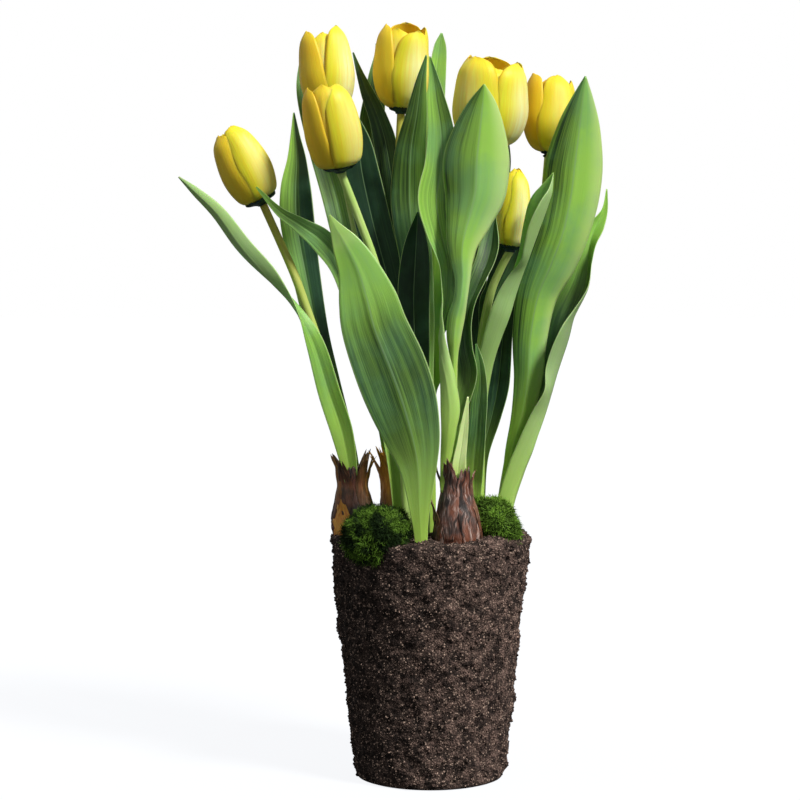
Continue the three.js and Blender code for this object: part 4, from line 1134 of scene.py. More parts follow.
def tunic_finish(settings):
    """Dry papery skin: red-brown, with painted shade in its folds and creases, a painted highlight
    on its ridges, and golden scales.
    """
    material, tree, shader = new_material(
        "tunic_paper", IOR=1.45, Coat_Weight=0.4, Coat_Roughness=0.3,
    )

    # The folds, fibres and creases sway a little from side to side.
    drift = add_node(
        tree, "ShaderNodeTexNoise", {"Vector": object_place(tree), "Scale": 95.0, "Detail": 1.0},
    )
    uv = add_node(
        tree, "ShaderNodeVectorMath",
        {0: drift.outputs["Color"], 1: (0.15, 0.0, 0.0), 2: uv_place(tree, "skin")[0]},
        operation="MULTIPLY_ADD",
    ).outputs[0]
    folds = place_group(tree, "lengthwise_streaks", UV=uv, Veins=34.0, Breaks=3.0)
    fibres = place_group(tree, "lengthwise_streaks", UV=uv, Veins=110.0, Breaks=7.0, Offset=5.0)
    creases = place_group(tree, "lengthwise_streaks", UV=uv, Veins=24.0, Breaks=3.5, Offset=11.0)
    blotch = place_group(tree, "mottle", Broad_Scale=90.0, Fine_Scale=700.0)

    rust = math_node(tree, "MULTIPLY", blotch.outputs["Broad"], 0.45)
    pale = math_node(tree, "MULTIPLY", fibres.outputs["Streaks"], folds.outputs["Streaks"])
    # The ridges get a painted highlight, strongest on the lit front bulb.
    ridge = math_node(tree, "MULTIPLY", map_range(tree, pale, 0.2, 0.9, 0.03, 0.75),
                      painted(tree, "frost"))
    # The creases are painted near black: painted shade.
    crease_shade = map_range(tree, creases.outputs["Streaks"], 0.55, 0.1, 0.0, 0.92)
    golden = mix_color(tree, fibres.outputs["Streaks"], TUNIC_AMBER, TUNIC_GOLD)
    # Near black between the streaks of the folds: painted shade in the folds.
    base = layered(
        tree, TUNIC_FOLD_SHADE, (folds.outputs["Streaks"], settings.tunic), (rust, TUNIC_RUST),
        (ridge, TUNIC_RIDGE_HIGHLIGHT), (crease_shade, TUNIC_CREASE_SHADE), (painted(tree, "gold"), golden),
    )
    relief = math_node(tree, "MULTIPLY_ADD", folds.outputs["Height"], 1.5, fibres.outputs["Height"])
    dress(tree, shader, base, (fibres.outputs["Streaks"], -0.18, 0.55), (relief, 0.7, 0.8 * MM))
    return material


def soil_finish(settings, name, brightness):
    """Granular potting soil, near black with brown and tan grains, painted darker to the left and
    in the hollows between the grains as painted shade.
    """
    material, tree, shader = new_material(name, IOR=1.4, Specular_IOR_Level=0.25)
    blotch = place_group(tree, "mottle", Broad_Scale=160.0, Fine_Scale=1500.0)
    place = object_place(tree)
    grains = add_node(tree, "ShaderNodeTexVoronoi", {"Vector": place, "Scale": 850.0})
    pick = add_node(tree, "ShaderNodeSeparateColor", {0: grains.outputs["Color"]})
    parts = add_node(tree, "ShaderNodeSeparateXYZ", {0: place})
    # The left side, away from the lamp, is painted darker: painted shade.
    painted_left_shade = map_range(tree, parts.outputs[0], 0.045, -0.06, 0.0, 0.65)
    flecks = map_range(tree, pick.outputs[0], 0.8 - brightness, 0.97 - 0.5 * brightness)
    flecks = math_node(tree, "MULTIPLY", flecks, 0.85)
    mixed = layered(
        tree, settings.soil, (blotch.outputs["Broad"], SOIL_DRY), (painted_left_shade, SOIL_LEFT_SHADE),
        (flecks, settings.fleck),
    )
    # The hollows between the grains are painted darker: painted shade.
    raised = map_range(tree, grains.outputs["Distance"], 0.2, 0.65, 1.0, 0.25)
    base = mix_color(tree, raised, SOIL_HOLLOW_SHADE, mixed)
    relief = math_node(tree, "SUBTRACT", blotch.outputs["Height"], grains.outputs["Distance"])
    dress(tree, shader, base, (blotch.outputs["Fine"], 0.15, 0.8), (relief, 0.8, 1.0 * MM))
    return material


def moss_finish(settings, name, lift):
    """Moss green, fresher towards the tips of the tufts, partly its own colour and partly painted
    light, and painted lighter to the right, towards the lamp.
    """
    material, tree, shader = new_material(name, IOR=1.4, Specular_IOR_Level=0.2)
    blotch = place_group(tree, "mottle", Broad_Scale=105.0, Fine_Scale=900.0)
    parts = add_node(tree, "ShaderNodeSeparateXYZ", {0: object_place(tree)})
    # The right side, towards the lamp, is painted lighter: painted light.
    painted_right_light = map_range(tree, parts.outputs[0], 0.0, 0.03, 0.0, 0.7)
    spots = map_range(tree, blotch.outputs["Broad"], 0.2, 0.85, 0.05, 1.0)
    patch = math_node(tree, "ADD", spots, painted_right_light)
    # The tips of the tufts are lighter, partly the moss's own fresh tips and partly painted light.
    tips = math_node(tree, "MULTIPLY", patch, painted(tree, "tip"))
    tips = math_node(tree, "MULTIPLY", tips, lift)
    base = layered(tree, settings.moss, (blotch.outputs["Broad"], MOSS_BLOTCH), (tips, MOSS_FRESH))
    dress(tree, shader, base, (blotch.outputs["Fine"], 0.2, 0.65),
          (blotch.outputs["Height"], 0.4, 0.6 * MM))
    return material


def floor_finish():
    """A plain pale studio floor that looks white."""
    material, tree, shader = new_material("studio_floor", Roughness=0.9, Specular_IOR_Level=0.1)
    grain = add_node(tree, "ShaderNodeTexNoise", {"Vector": object_place(tree), "Scale": 3.0})
    rays = tree.nodes.new("ShaderNodeLightPath")
    glow = math_node(tree, "MULTIPLY", rays.outputs["Is Camera Ray"], FLOOR_GLOW_STRENGTH)
    pale = mix_color(tree, grain.outputs[0], FLOOR_GREY, FLOOR_PALE)
    feed(tree, shader.inputs["Base Color"], pale)
    feed(tree, shader.inputs["Emission Color"], FLOOR_GLOW)
    feed(tree, shader.inputs["Emission Strength"], glow)
    return material


# ---- scattering -------------------------------------------------------------

# A crumb: its stretch along each axis, and how lumpy it is.
CRUMB_STRETCH = (1.2, 0.9, 0.75)
CRUMB_SWELL = 0.35
CRUMB_LUMPS = 3

# A spike: the shares of its reach below and above its bend, how far its foot lies
# under the surface, and how slim it is at the bend.
SPIKE_BELOW = 0.55
SPIKE_ABOVE = 0.45
SPIKE_SUNK = 0.15
SPIKE_SLIMMING = 0.75


def scatter_tree(name, material):
    """A tree that scatters a small piece over a surface and keeps only the pieces."""
    tree = bpy.data.node_groups.new(name, "GeometryNodeTree")
    surface = tree.interface
    surface.new_socket(name="Geometry", in_out="INPUT", socket_type="NodeSocketGeometry")
    for title, kind, value in (
        ("Density", "NodeSocketFloat", 1000.0),
        ("Seed", "NodeSocketInt", 1),
        ("Smallest", "NodeSocketFloat", 0.5),
        ("Largest", "NodeSocketFloat", 1.2),
        ("Lean", "NodeSocketFloat", 0.5),
    ):
        surface.new_socket(name=title, in_out="INPUT", socket_type=kind).default_value = value
    surface.new_socket(name="Piece", in_out="INPUT", socket_type="NodeSocketObject")
    surface.new_socket(name="Geometry", in_out="OUTPUT", socket_type="NodeSocketGeometry")
    start = tree.nodes.new("NodeGroupInput")
    end = tree.nodes.new("NodeGroupOutput")
    grow = add_node(tree, "GeometryNodeInputNamedAttribute", {"Name": "grow"}, data_type="FLOAT")
    density = math_node(tree, "MULTIPLY", grow.outputs["Attribute"], start.outputs["Density"])
    points = add_node(
        tree, "GeometryNodeDistributePointsOnFaces",
        {"Mesh": start.outputs["Geometry"], "Density": density, "Seed": start.outputs["Seed"]},
        distribute_method="RANDOM",
    )
    piece = add_node(tree, "GeometryNodeObjectInfo", {"Object": start.outputs["Piece"]})
    size = add_node(
        tree, "FunctionNodeRandomValue",
        {2: start.outputs["Smallest"], 3: start.outputs["Largest"], "Seed": start.outputs["Seed"]},
        data_type="FLOAT",
    )
    copies = add_node(
        tree, "GeometryNodeInstanceOnPoints",
        {
            "Points": points.outputs["Points"], "Instance": piece.outputs["Geometry"],
            "Rotation": points.outputs["Rotation"], "Scale": size.outputs[1],
        },
    )
    lean = start.outputs["Lean"]
    back = math_node(tree, "MULTIPLY", lean, -1.0)
    low = add_node(tree, "ShaderNodeCombineXYZ", {0: back, 1: back, 2: -math.pi})
    high = add_node(tree, "ShaderNodeCombineXYZ", {0: lean, 1: lean, 2: math.pi})
    spin = add_node(
        tree, "FunctionNodeRandomValue",
        {0: low.outputs[0], 1: high.outputs[0], "Seed": start.outputs["Seed"]},
        data_type="FLOAT_VECTOR",
    )
    turned = add_node(
        tree, "GeometryNodeRotateInstances",
        {"Instances": copies.outputs[0], "Rotation": spin.outputs[0]},
    )
    real = add_node(tree, "GeometryNodeRealizeInstances", {0: turned.outputs[0]})
    dressed = add_node(
        tree, "GeometryNodeSetMaterial", {"Geometry": real.outputs[0], "Material": material},
    )
    tree.links.new(dressed.outputs[0], end.inputs[0])
    return tree


def scatter(name, base, tree, piece, density, seed, smallest, largest, lean):
    """Runs a scatter tree on a base and returns the scattered pieces as one mesh."""
    modifier = base.modifiers.new(name, "NODES")
    modifier.node_group = tree
    chosen = {
        "Density": float(density), "Seed": seed, "Smallest": smallest,
        "Largest": largest, "Lean": lean, "Piece": piece,
    }
    for socket in tree.interface.items_tree:
        if socket.in_out == "INPUT" and socket.name in chosen:
            modifier[socket.identifier] = chosen[socket.name]
    bpy.context.view_layer.update()
    graph = bpy.context.evaluated_depsgraph_get()
    mesh = bpy.data.meshes.new_from_object(base.evaluated_get(graph))
    base.modifiers.remove(modifier)
    mesh.name = name
    result = bpy.data.objects.new(name, mesh)
    bpy.context.scene.collection.objects.link(result)
    if not mesh.polygons:
        raise RuntimeError(f"{name}: nothing was scattered")
    return result


def discard(piece):
    """Takes a helper mesh out of the scene."""
    mesh = piece.data
    bpy.data.objects.remove(piece)
    bpy.data.meshes.remove(mesh)


def crumb_piece(radius):
    """One irregular crumb of twenty faces."""
    golden = (1 + math.sqrt(5)) / 2
    corners = []
    for a in (-1, 1):
        for b in (-golden, golden):
            corners += [(0, a, b), (a, b, 0), (b, 0, a)]
    points = [Vector(c).normalized() for c in corners]
    for index, point in enumerate(points):
        swell = 1 + CRUMB_SWELL * noise.noise(point * CRUMB_LUMPS + Vector((index, 0, 0)))
        points[index] = Vector([a * b for a, b in zip(point, CRUMB_STRETCH)]) * radius * swell
    piece = mesh_object("crumb_pattern", points, [], smooth=False)
    shape = bmesh.new()
    shape.from_mesh(piece.data)
    bmesh.ops.convex_hull(shape, input=shape.verts)
    shape.to_mesh(piece.data)
    shape.free()
    return piece


def spike_piece(name, spikes, length, width, spread, droop, seed):
    """A tuft of slim three-sided spikes, each with a bend in the middle."""
    draw = np.random.default_rng(seed)
    points = []
    faces = []
    for spike in range(spikes):
        turn = TAU * spike / spikes + draw.uniform(-0.4, 0.4)
        lean = spread * draw.uniform(0.3, 1.0)
        reach = length * draw.uniform(0.65, 1.0)
        out = Vector((math.cos(turn), math.sin(turn), 0))
        rise = Vector((0, 0, 1))
        middle = (rise * math.cos(lean) + out * math.sin(lean)) * reach * SPIKE_BELOW
        bent = lean + droop
        tip = middle + (rise * math.cos(bent) + out * math.sin(bent)) * reach * SPIKE_ABOVE
        foot = Vector((0, 0, -SPIKE_SUNK * length))
        first = len(points)
        for centre, radius in ((foot, width), (middle, SPIKE_SLIMMING * width)):
            for corner in range(3):
                angle = turn + TAU * corner / 3
                points.append(centre + Vector((math.cos(angle), math.sin(angle), 0)) * radius)
        points.append(tip)
        faces.append((first + 2, first + 1, first))
        for corner in range(3):
            beside = (corner + 1) % 3
            faces.append((first + corner, first + beside, first + 3 + beside, first + 3 + corner))
            faces.append((first + 3 + corner, first + 3 + beside, first + 6))
    piece = mesh_object(name, points, faces, smooth=False)
    paint_points(piece, "tip", np.tile([0.0, 0.0, 0.0, 0.5, 0.5, 0.5, 1.0], spikes))
    return piece


# ---- leaves and stems -------------------------------------------------------

# A blade: rows between two stations, columns across it, the least half width, the
# ripples along its margins, its crease along the midrib, how much thinner its
# margins are and how the thickness falls off at the tip.
BLADE_ROWS = 11
BLADE_COLUMNS = 18
BLADE_LEAST_WIDTH = 0.0005
BLADE_RIPPLES = 19
CREASE_DEPTH = 0.072
CREASE_WIDTH = 0.09
BLADE_MARGIN_THINNING = 0.62
BLADE_TIP_THICKNESS = 0.3
BLADE_TIP_TAPER = 8

# The upper end of a blade turns pale from here on, over this share of its length.
TIPPED_FROM = 0.55
TIPPED_OVER = 0.3

# A rolled margin: where it starts and ends along the leaf, over which lengths it
# comes and goes, how little of it is left there, the line it rolls about, and by
# how much a full roll stretches it.
ROLL_START = 0.08
ROLL_COMES_OVER = 0.15
ROLL_END = 0.82
ROLL_GOES_OVER = 0.16
ROLL_LEAST = 0.02
ROLL_HINGE = -0.45
ROLL_STRETCH = 0.7
FULL_ROLL = 2.9

# A stem: rows between two stations, corners round it and how uneven it is.
STEM_ROWS = 8
STEM_SIDES = 24
STEM_UNEVENNESS = 0.02
STEM_WAVES = 17


def roll_share(along):
    """How far the margin is rolled at each share of a leaf: not at its foot, nor at its tip."""
    comes = np.clip((along - ROLL_START) / ROLL_COMES_OVER, ROLL_LEAST, 1)
    goes = np.clip((ROLL_END - along) / ROLL_GOES_OVER, ROLL_LEAST, 1)
    return comes * goes


def rolled_margin(place, lift, angle):
    """Rolls the left margin of a leaf forward through an angle at each row."""
    strip = np.clip((ROLL_HINGE - place) / (1 + ROLL_HINGE), 0, 1)
    length = (1 + ROLL_HINGE) * (1 + ROLL_STRETCH * angle / FULL_ROLL)
    across = ROLL_HINGE - length / angle * np.sin(angle * strip)
    forward = length / angle * (1 - np.cos(angle * strip))
    rolled = place < ROLL_HINGE
    return np.where(rolled, across, place), np.where(rolled, lift + forward, lift)


def make_blade(name, leaf, settings, material):
    """A long channelled leaf with a creased midrib and rippling margins."""
    stations = leaf["stations"]
    rows = BLADE_ROWS * (len(stations) - 1)
    along = np.linspace(0, 1, rows + 1)
    up = along[:, None]
    arch = np.sin(np.pi * up)
    midrib = spline([fanned(s) for s in stations], along)
    measures = spline([s[3:5] for s in stations], along)

    # The blade faces the front, turned about its midrib as its stations say.
    tangent = unit(np.gradient(midrib, axis=0))
    view = np.array([0.0, -1.0, 0.0])
    facing = unit(view - tangent * (tangent @ view)[:, None])
    turn = np.radians(measures[:, 1])[:, None]
    normal = facing * np.cos(turn) + np.cross(tangent, facing) * np.sin(turn)
    sideways = np.cross(tangent, normal)

    reach = np.linspace(-1, 1, BLADE_COLUMNS + 1)[None, :]
    width = np.maximum(measures[:, 0], BLADE_LEAST_WIDTH)[:, None]
    place = reach * np.ones_like(width)
    channel = leaf["cup"] * np.abs(reach) ** 1.5 * np.ones_like(width)
    if "curl" in leaf:
        channel = channel + leaf["curl"] * np.clip(-reach, 0, 1) ** 4 * arch
    if "roll" in leaf:
        place, channel = rolled_margin(place, channel, leaf["roll"] * roll_share(up))
    swell = (arch * np.abs(reach) ** 1.5) ** 2
    ripple = leaf["wave"] * swell * np.sin(BLADE_RIPPLES * up + 2 * np.sign(reach))
    crease = -CREASE_DEPTH * width * np.exp(-((reach / CREASE_WIDTH) ** 2)) * arch
    lift = width * channel + ripple + crease * np.sign(leaf["cup"])
    surface = midrib[:, None] + sideways[:, None] * (width * place)[..., None]
    surface = surface + normal[:, None] * lift[..., None]
    taper = np.minimum(1, BLADE_TIP_THICKNESS + BLADE_TIP_TAPER * (1 - up))
    thickness = settings.thickness * (1 - BLADE_MARGIN_THINNING * reach**2) * taper
    points, faces, shares, side = sheet_parts(surface, thickness)
    piece = mesh_object(f"blade_{name}", points, faces, {"blade": shares[faces.ravel()]})

    # The right half is painted lighter and the left darker, as painted light and shade from the
    # lamp side; the tone itself holds painted shade for the dark leaves deep in the clump.
    shade = leaf["tone"] + leaf.get("painted_side_light", 0.0) * np.sin(math.pi * (shares[:, 0] - 0.5))
    shade += leaf.get("tipped", 0.0) * np.clip((shares[:, 1] - TIPPED_FROM) / TIPPED_OVER, 0, 1)
    paint_points(piece, "underside", side)
    paint_points(piece, "tone", np.full(len(points), leaf["tone"]))
    paint_points(piece, "shade", shade)
    return finished(piece, "leaf", material, f"leaf_{name}")


def make_stem(name, route, settings, material):
    """A slim round stem, a little thicker at its foot."""
    share = np.linspace(0, 1, STEM_ROWS * (len(route) - 1) + 1)
    middle = spline([fanned(p) for p in route], share)
    radii = settings.foot_radius + (settings.top_radius - settings.foot_radius) * share
    radii = radii * (1 + STEM_UNEVENNESS * np.sin(STEM_WAVES * share + len(name)))
    points, faces, shares = tube_parts(middle, radii, STEM_SIDES)
    piece = mesh_object(f"stalk_{name}", points, faces, {"skin": shares})
    height = points[:, 2] - points[:, 2].min()
    paint_points(piece, "ripe", RIPENESS.get(name, 0.0) * (height / height.max()) ** 2)
    return finished(piece, "stem", material, f"stem_{name}")


# ---- blooms -----------------------------------------------------------------

# A petal: rows and columns, how closely the rows stand at the tip, how far it
# reaches round the bloom, and its rib, waves, curl, hood, nicks and rounded tip.
# The last four are shares of the bloom's radius.
PETAL_ROWS = 30
PETAL_COLUMNS = 18
PETAL_CROWDING = 1.35
PETAL_MARGIN_THINNING = 0.6
PETAL_REACH = 1.06
PETAL_INNER_LIFT = 0.016
PETAL_RIB = 0.0006
PETAL_RIB_WIDTH = 0.1
PETAL_WAVE = 0.0006
PETAL_WAVES = 13
PETAL_CURL = 0.05
PETAL_HOOD = 0.25
PETAL_NICK = 0.02
PETAL_NICKS = 7
PETAL_ROUNDING = 0.03

# The pistil: rows, corners, the radius at its middle, and its foot and length as
# shares of the bloom's height.
PISTIL_ROWS = 8
PISTIL_SIDES = 12
PISTIL_RADIUS = 0.0022
PISTIL_FOOT = 0.05
PISTIL_LENGTH = 0.3
PISTIL_TONE = 0.1

# A cup: rows along its section, corners, and its height as a share of the bloom's.
CUP_ROWS = 27
CUP_SIDES = 48
CUP_HEIGHT = 0.036
CUP_LOBES = 6
CUP_TEETH = 17
CUP_SCALLOP = 0.0016


def placement(bloom):
    """The matrix from a bloom's own upright frame to its place, and the bloom's height."""
    base = Vector(fanned(bloom["base"]))
    axis = Vector(fanned(bloom["tip"])) - base
    turn = Vector((0, 0, 1)).rotation_difference(axis)
    return Matrix.Translation(base) @ turn.to_matrix().to_4x4(), axis.length


def placed(matrix, points):
    """Points moved by a matrix."""
    turn = np.array(matrix.to_3x3())
    return points @ turn.T + np.array(matrix.translation)


def petal_profile(bloom, tip):
    """Radius and rise along a petal, as shares of the bloom."""
    full = bloom["full"]
    return [
        (0.12, 0.01), (0.52 + 0.16 * full, 0.06), (0.82 + 0.07 * full, 0.19), (0.99, 0.4),
        (0.9 + 0.1 * tip, 0.64), (0.6 + 0.42 * tip, 0.86), (tip, 1.0),
    ]


def petal_width(along, slim):
    """Half the width of a petal along its length, as a share of the bloom's radius."""
    foot = np.sin(np.clip(along / 0.42, 0, 1) * math.pi / 2) ** 0.8
    start = 0.5 - 0.25 * slim
    tip = np.clip((along - start) / (1 - start), 0, 1)
    return 0.1 * (1 - tip**3) + 0.95 * foot * (1 - tip ** (2.3 - 0.4 * slim)) ** (0.42 + 0.2 * slim)


def petal_surface(bloom, height, petal, draw):
    """The middle surface of one petal in the bloom's upright frame."""
    turn, inset, tall, tip, slim = petal
    wide = bloom["radius"]
    along = 1 - (1 - np.linspace(0, 1, PETAL_ROWS + 1)) ** PETAL_CROWDING
    up = along[:, None]
    reach = np.linspace(-1, 1, PETAL_COLUMNS + 1)[None, :]
    profile = spline(petal_profile(bloom, tip), along)
    radius = wide * inset * profile[:, 0:1]
    lift = PETAL_INNER_LIFT * (1 - inset)
    rise = (height * tall - lift) * profile[:, 1:2] + lift
    half = wide * inset * petal_width(along, slim)[:, None]
    angle = math.radians(turn) + reach * np.minimum(half / np.maximum(radius, 1e-5), PETAL_REACH)
    rib = PETAL_RIB * np.exp(-((reach / PETAL_RIB_WIDTH) ** 2)) * np.sin(np.pi * up)
    curl = wide * PETAL_CURL * reach**2 * up * (1 - up) * draw.uniform(-1.0, 2.0)
    wave = PETAL_WAVE * reach**2 * np.sin(PETAL_WAVES * up + draw.uniform(0, TAU)) * up
    hood = PETAL_HOOD * half**2 / wide * reach**2 * up**2
    out = radius + rib + curl + wave - hood
    nick = wide * PETAL_NICK * np.sin(PETAL_NICKS * reach + 0.1 * turn) * up**10
    drop = wide * PETAL_ROUNDING * reach**2 * up**6 + nick * (1 - bloom["full"] / 2)
    return np.stack([out * np.cos(angle), out * np.sin(angle), rise - drop + 0 * reach], axis=-1)


def make_bloom(name, bloom, settings, material):
    """Six overlapping petals round a small pistil."""
    matrix, height = placement(bloom)
    draw = np.random.default_rng(bloom["seed"])
    reach = np.linspace(-1, 1, PETAL_COLUMNS + 1)[None, :]
    thickness = settings.thickness * (1 - PETAL_MARGIN_THINNING * reach**2)
    thickness = thickness * np.ones((PETAL_ROWS + 1, 1))
    points = []
    faces = []
    shares = []
    tones = []
    first = 0
    for petal in bloom["petals"]:
        surface = petal_surface(bloom, height, petal, draw)
        own_points, own_faces, own_shares, _ = sheet_parts(surface, thickness)
        points.append(own_points)
        faces += [tuple(face) for face in own_faces + first]
        shares.append(own_shares[own_faces.ravel()])
        # Petals turned towards the lamp get a higher tone and show lighter and more lemon, those
        # turned away a lower tone and more ochre: painted light and shade.
        bright = (0.5 + 0.5 * math.cos(math.radians(petal[0]) - BRIGHT_TURN)) ** 1.6
        tone = bloom["pale"] * (SHADED_SIDE_TONE + BRIGHT_TONE * bright) + draw.uniform(0, 0.1)
        tones.append(np.full(len(own_points), tone))
        first += len(own_points)
    share = np.linspace(0, 1, PISTIL_ROWS + 1)
    rise = height * (PISTIL_FOOT + PISTIL_LENGTH * share)
    route = np.stack([0 * share, 0 * share, rise], axis=1)
    radii = PISTIL_RADIUS * (1.25 - 0.5 * share)
    core, core_faces, core_shares = tube_parts(route, radii, PISTIL_SIDES)
    points.append(core)
    faces += [tuple(i + first for i in face) for face in core_faces]
    shares.append(core_shares)
    tones.append(np.full(len(core), PISTIL_TONE))
    piece = mesh_object(
        f"petals_{name}", placed(matrix, np.vstack(points)), faces, {"petal": np.vstack(shares)},
    )
    paint_points(piece, "tone", np.concatenate(tones))
    return finished(piece, "petal", material, f"bloom_{name}")


def make_cup(name, bloom, material):
    """The dark scalloped cup that holds the foot of a bloom."""
    matrix, height = placement(bloom)
    wide = bloom["radius"] * (0.5 + 0.15 * bloom["full"]) * bloom["cup"]
    rim = CUP_HEIGHT * height * bloom["cup"]
    profile = spline([
        (0.0, -0.0026), (0.0034, -0.0026), (0.004, -0.002), (0.5 * wide, -0.0009),
        (0.82 * wide, 0.0005), (wide, rim), (wide - 0.0006, rim),
        (0.7 * wide, 0.001), (0.3 * wide, -0.0002), (0.0, -0.0004),
    ], np.linspace(0, 1, CUP_ROWS + 1))
    profile[0, 0] = profile[-1, 0] = 0

    def scalloped(rings, angle):
        """Raises and spreads the rim in soft lobes."""
        far = np.clip(np.linalg.norm(rings[..., :2], axis=-1) / wide, 0, 1) ** 3
        lobes = 0.5 + 0.5 * np.sin(CUP_LOBES * angle + bloom["seed"])
        teeth = 0.4 * np.sin(CUP_TEETH * angle + 2 * bloom["seed"])
        rings[..., 2] += far * CUP_SCALLOP * (lobes + teeth - 0.5)
        rings[..., :2] *= (1 + 0.03 * far * (lobes - 0.5))[..., None]
        return rings

    points, faces, shares = lathe_parts(profile, CUP_SIDES, scalloped)
    piece = mesh_object(f"cup_{name}", placed(matrix, points), faces, {"skin": shares})
    return finished(piece, "cap", material, f"cap_{name}")


# ---- bulbs ------------------------------------------------------------------

# The tunic: corners round it, levels up its outside and down inside its neck, how
# thick it is there, where the tear starts and how ragged it is.
TUNIC_SIDES = 96
TUNIC_LEVELS = 44
NECK_LEVELS = 8
NECK_THICKNESS = 0.0012
TEAR_START = 0.8
TEAR_HEIGHT = 0.0024
TEAR_SPREAD = 0.10

# The folds of the tunic: how deep, how fast they change up the bulb, their scale
# round it and how far their seed is from the bulb's turn.
TUNIC_FOLDS = ((0.10, 0.22, 3.4, 0), (0.055, 0.3, 9.0, 4), (0.02, 1.5, 14.0, 9))
FOLD_SWAY = 0.35

# A loose scale: its grid, thickness, gap to the tunic, crumples and slant.
SCALE_ROWS = 26
SCALE_COLUMNS = 10
SCALE_THICKNESS = 0.00045
SCALE_GAP = 0.0005
SCALE_CRUMPLE = 0.0013
SCALE_CRUMPLE_SCALE = 2.4
SCALE_SLANT = 0.01


def bulb_radius(bulb, rise):
    """Radius of a bulb's outside at a share of its height."""
    neck = 0.52 * bulb["radius"]
    wide = bulb["radius"]
    table = np.array([
        (0.0, 0.3 * wide), (0.02, 0.55 * wide), (0.16, 0.88 * wide), (0.34, wide),
        (0.5, 0.92 * wide), (0.66, 0.74 * wide), (0.8, neck + 0.0016), (1.0, neck + 0.0012),
        (1.3, neck + 0.0022),
    ])
    return np.interp(rise, table[:, 0], table[:, 1])


def bulb_shift(bulb, rise):
    """How far the middle of a bulb has leant at a share of its height."""
    return rise[..., None] * np.array(bulb["lean"])


def bulb_body(bulb):
    """The wrinkled flesh and inner tunic of a bulb, open at the torn neck."""
    height = bulb["height"]
    turn = bulb["turn"]
    levels = np.concatenate([np.linspace(0, 1, TUNIC_LEVELS), np.linspace(0.985, 0.8, NECK_LEVELS)])
    outside = np.arange(len(levels)) < TUNIC_LEVELS
    radius = np.where(outside, bulb_radius(bulb, levels), bulb_radius(bulb, 0.9) - NECK_THICKNESS)
    profile = [(0.0, -0.0005), *zip(radius, levels * height), (0.0, 0.78 * height)]

    def crinkled(rings, angle):
        """Folds the skin lengthwise and tears the neck."""
        level = rings[..., 2] / height
        none = np.zeros(level.shape)
        around = angle + turn
        torn = np.clip((level - TEAR_START) / (1 - TEAR_START), 0, 1)
        sway = wrinkles(np.stack([level * 2, none, none], axis=-1), 2.0, turn)
        swayed = around + FOLD_SWAY * sway
        folds = none
        for deep, change, scale, seed in TUNIC_FOLDS:
            places = np.stack([np.cos(swayed), np.sin(swayed), change * level], axis=-1)
            folds = folds + deep * wrinkles(places, scale, turn + seed)
        spread = 1 + folds + TEAR_SPREAD * torn * np.sin(3 * around + 2)
        rings[..., :2] *= spread[..., None]
        ragged = np.sin(5 * around) + 0.6 * np.sin(9 * around + 1) + 0.5 * np.sin(17 * around)
        rings[..., 2] += torn * TEAR_HEIGHT * ragged
        rings[..., :2] += bulb_shift(bulb, level)
        return rings

    return lathe_parts(profile, TUNIC_SIDES, crinkled)


def scale_strip(bulb, scale):
    """A torn papery scale that lies on a bulb and curls away at its ragged tip."""
    draw = np.random.default_rng(scale["seed"])
    along = np.linspace(0, 1, SCALE_ROWS + 1)[:, None]
    reach = np.linspace(-1, 1, SCALE_COLUMNS + 1)[None, :]
    rise = scale["low"] + (scale["high"] - scale["low"]) * along
    ragged = draw.uniform(-1, 1, (1, SCALE_COLUMNS + 1))
    ragged = 0.4 * ragged + 0.6 * np.roll(ragged, 1)
    rise = rise + scale["tear"] * ragged * along**3
    beyond = np.clip(rise - scale["free"], 0, None)
    off = SCALE_GAP + scale["curl"] * beyond**1.6
    radius = bulb_radius(bulb, rise) + off * (1 + 0.5 * reach * scale["twist"])
    notch = 1 - scale["point"] * along**2.5
    width = scale["width"] * np.sin(np.pi * np.clip(0.16 + 0.62 * along, 0, 1)) * notch
    sideways = reach * width + scale["slant"] * along * SCALE_SLANT
    angle = scale["angle"] + sideways / np.maximum(radius, 0.004)
    even = np.ones(angle.shape)
    places = np.stack([2.2 * along * even, 0.9 * reach * even, 0.3 * even], axis=-1)
    crumple = wrinkles(places, SCALE_CRUMPLE_SCALE, scale["seed"])
    radius = radius + SCALE_CRUMPLE * crumple * (0.3 + along)
    height = rise * bulb["height"]
    surface = np.stack([radius * np.cos(angle), radius * np.sin(angle), height], axis=-1)
    surface[..., :2] += bulb_shift(bulb, rise)
    return sheet_parts(surface, SCALE_THICKNESS * (1 - 0.4 * reach**2) * np.ones_like(along))


def make_bulb(name, bulb, material):
    """A bulb in its dry tunic, with torn scales about the neck."""
    body, faces, body_shares = bulb_body(bulb)
    faces = [tuple(face) for face in faces]
    points = [body]
    shares = [body_shares]
    golds = [np.zeros(len(body))]
    first = len(body)
    for measures in bulb["scales"]:
        scale = dict(zip(SCALE_MEASURES, measures))
        own_points, own_faces, own_shares, _ = scale_strip(bulb, scale)
        points.append(own_points)
        faces += [tuple(face) for face in own_faces + first]
        # Each scale shows a patch of its own of the tunic's pattern.
        shares.append(own_shares[own_faces.ravel()] * [0.25, 0.8] + [0.37 * scale["seed"] % 1, 0.1])
        golds.append(scale["gold"] * np.clip(own_shares[:, 1] * 2.2, 0.25, 1))
        first += len(own_points)
    place = np.vstack(points) + np.array(bulb["foot"])
    piece = mesh_object(f"tunic_{name}", place, faces, {"skin": np.vstack(shares)})
    paint_points(piece, "gold", np.concatenate(golds))
    paint_points(piece, "frost", np.full(len(place), bulb["frost"]))
    return finished(piece, "bulb", material, f"bulb_{name}")


# ---- moss and soil ----------------------------------------------------------

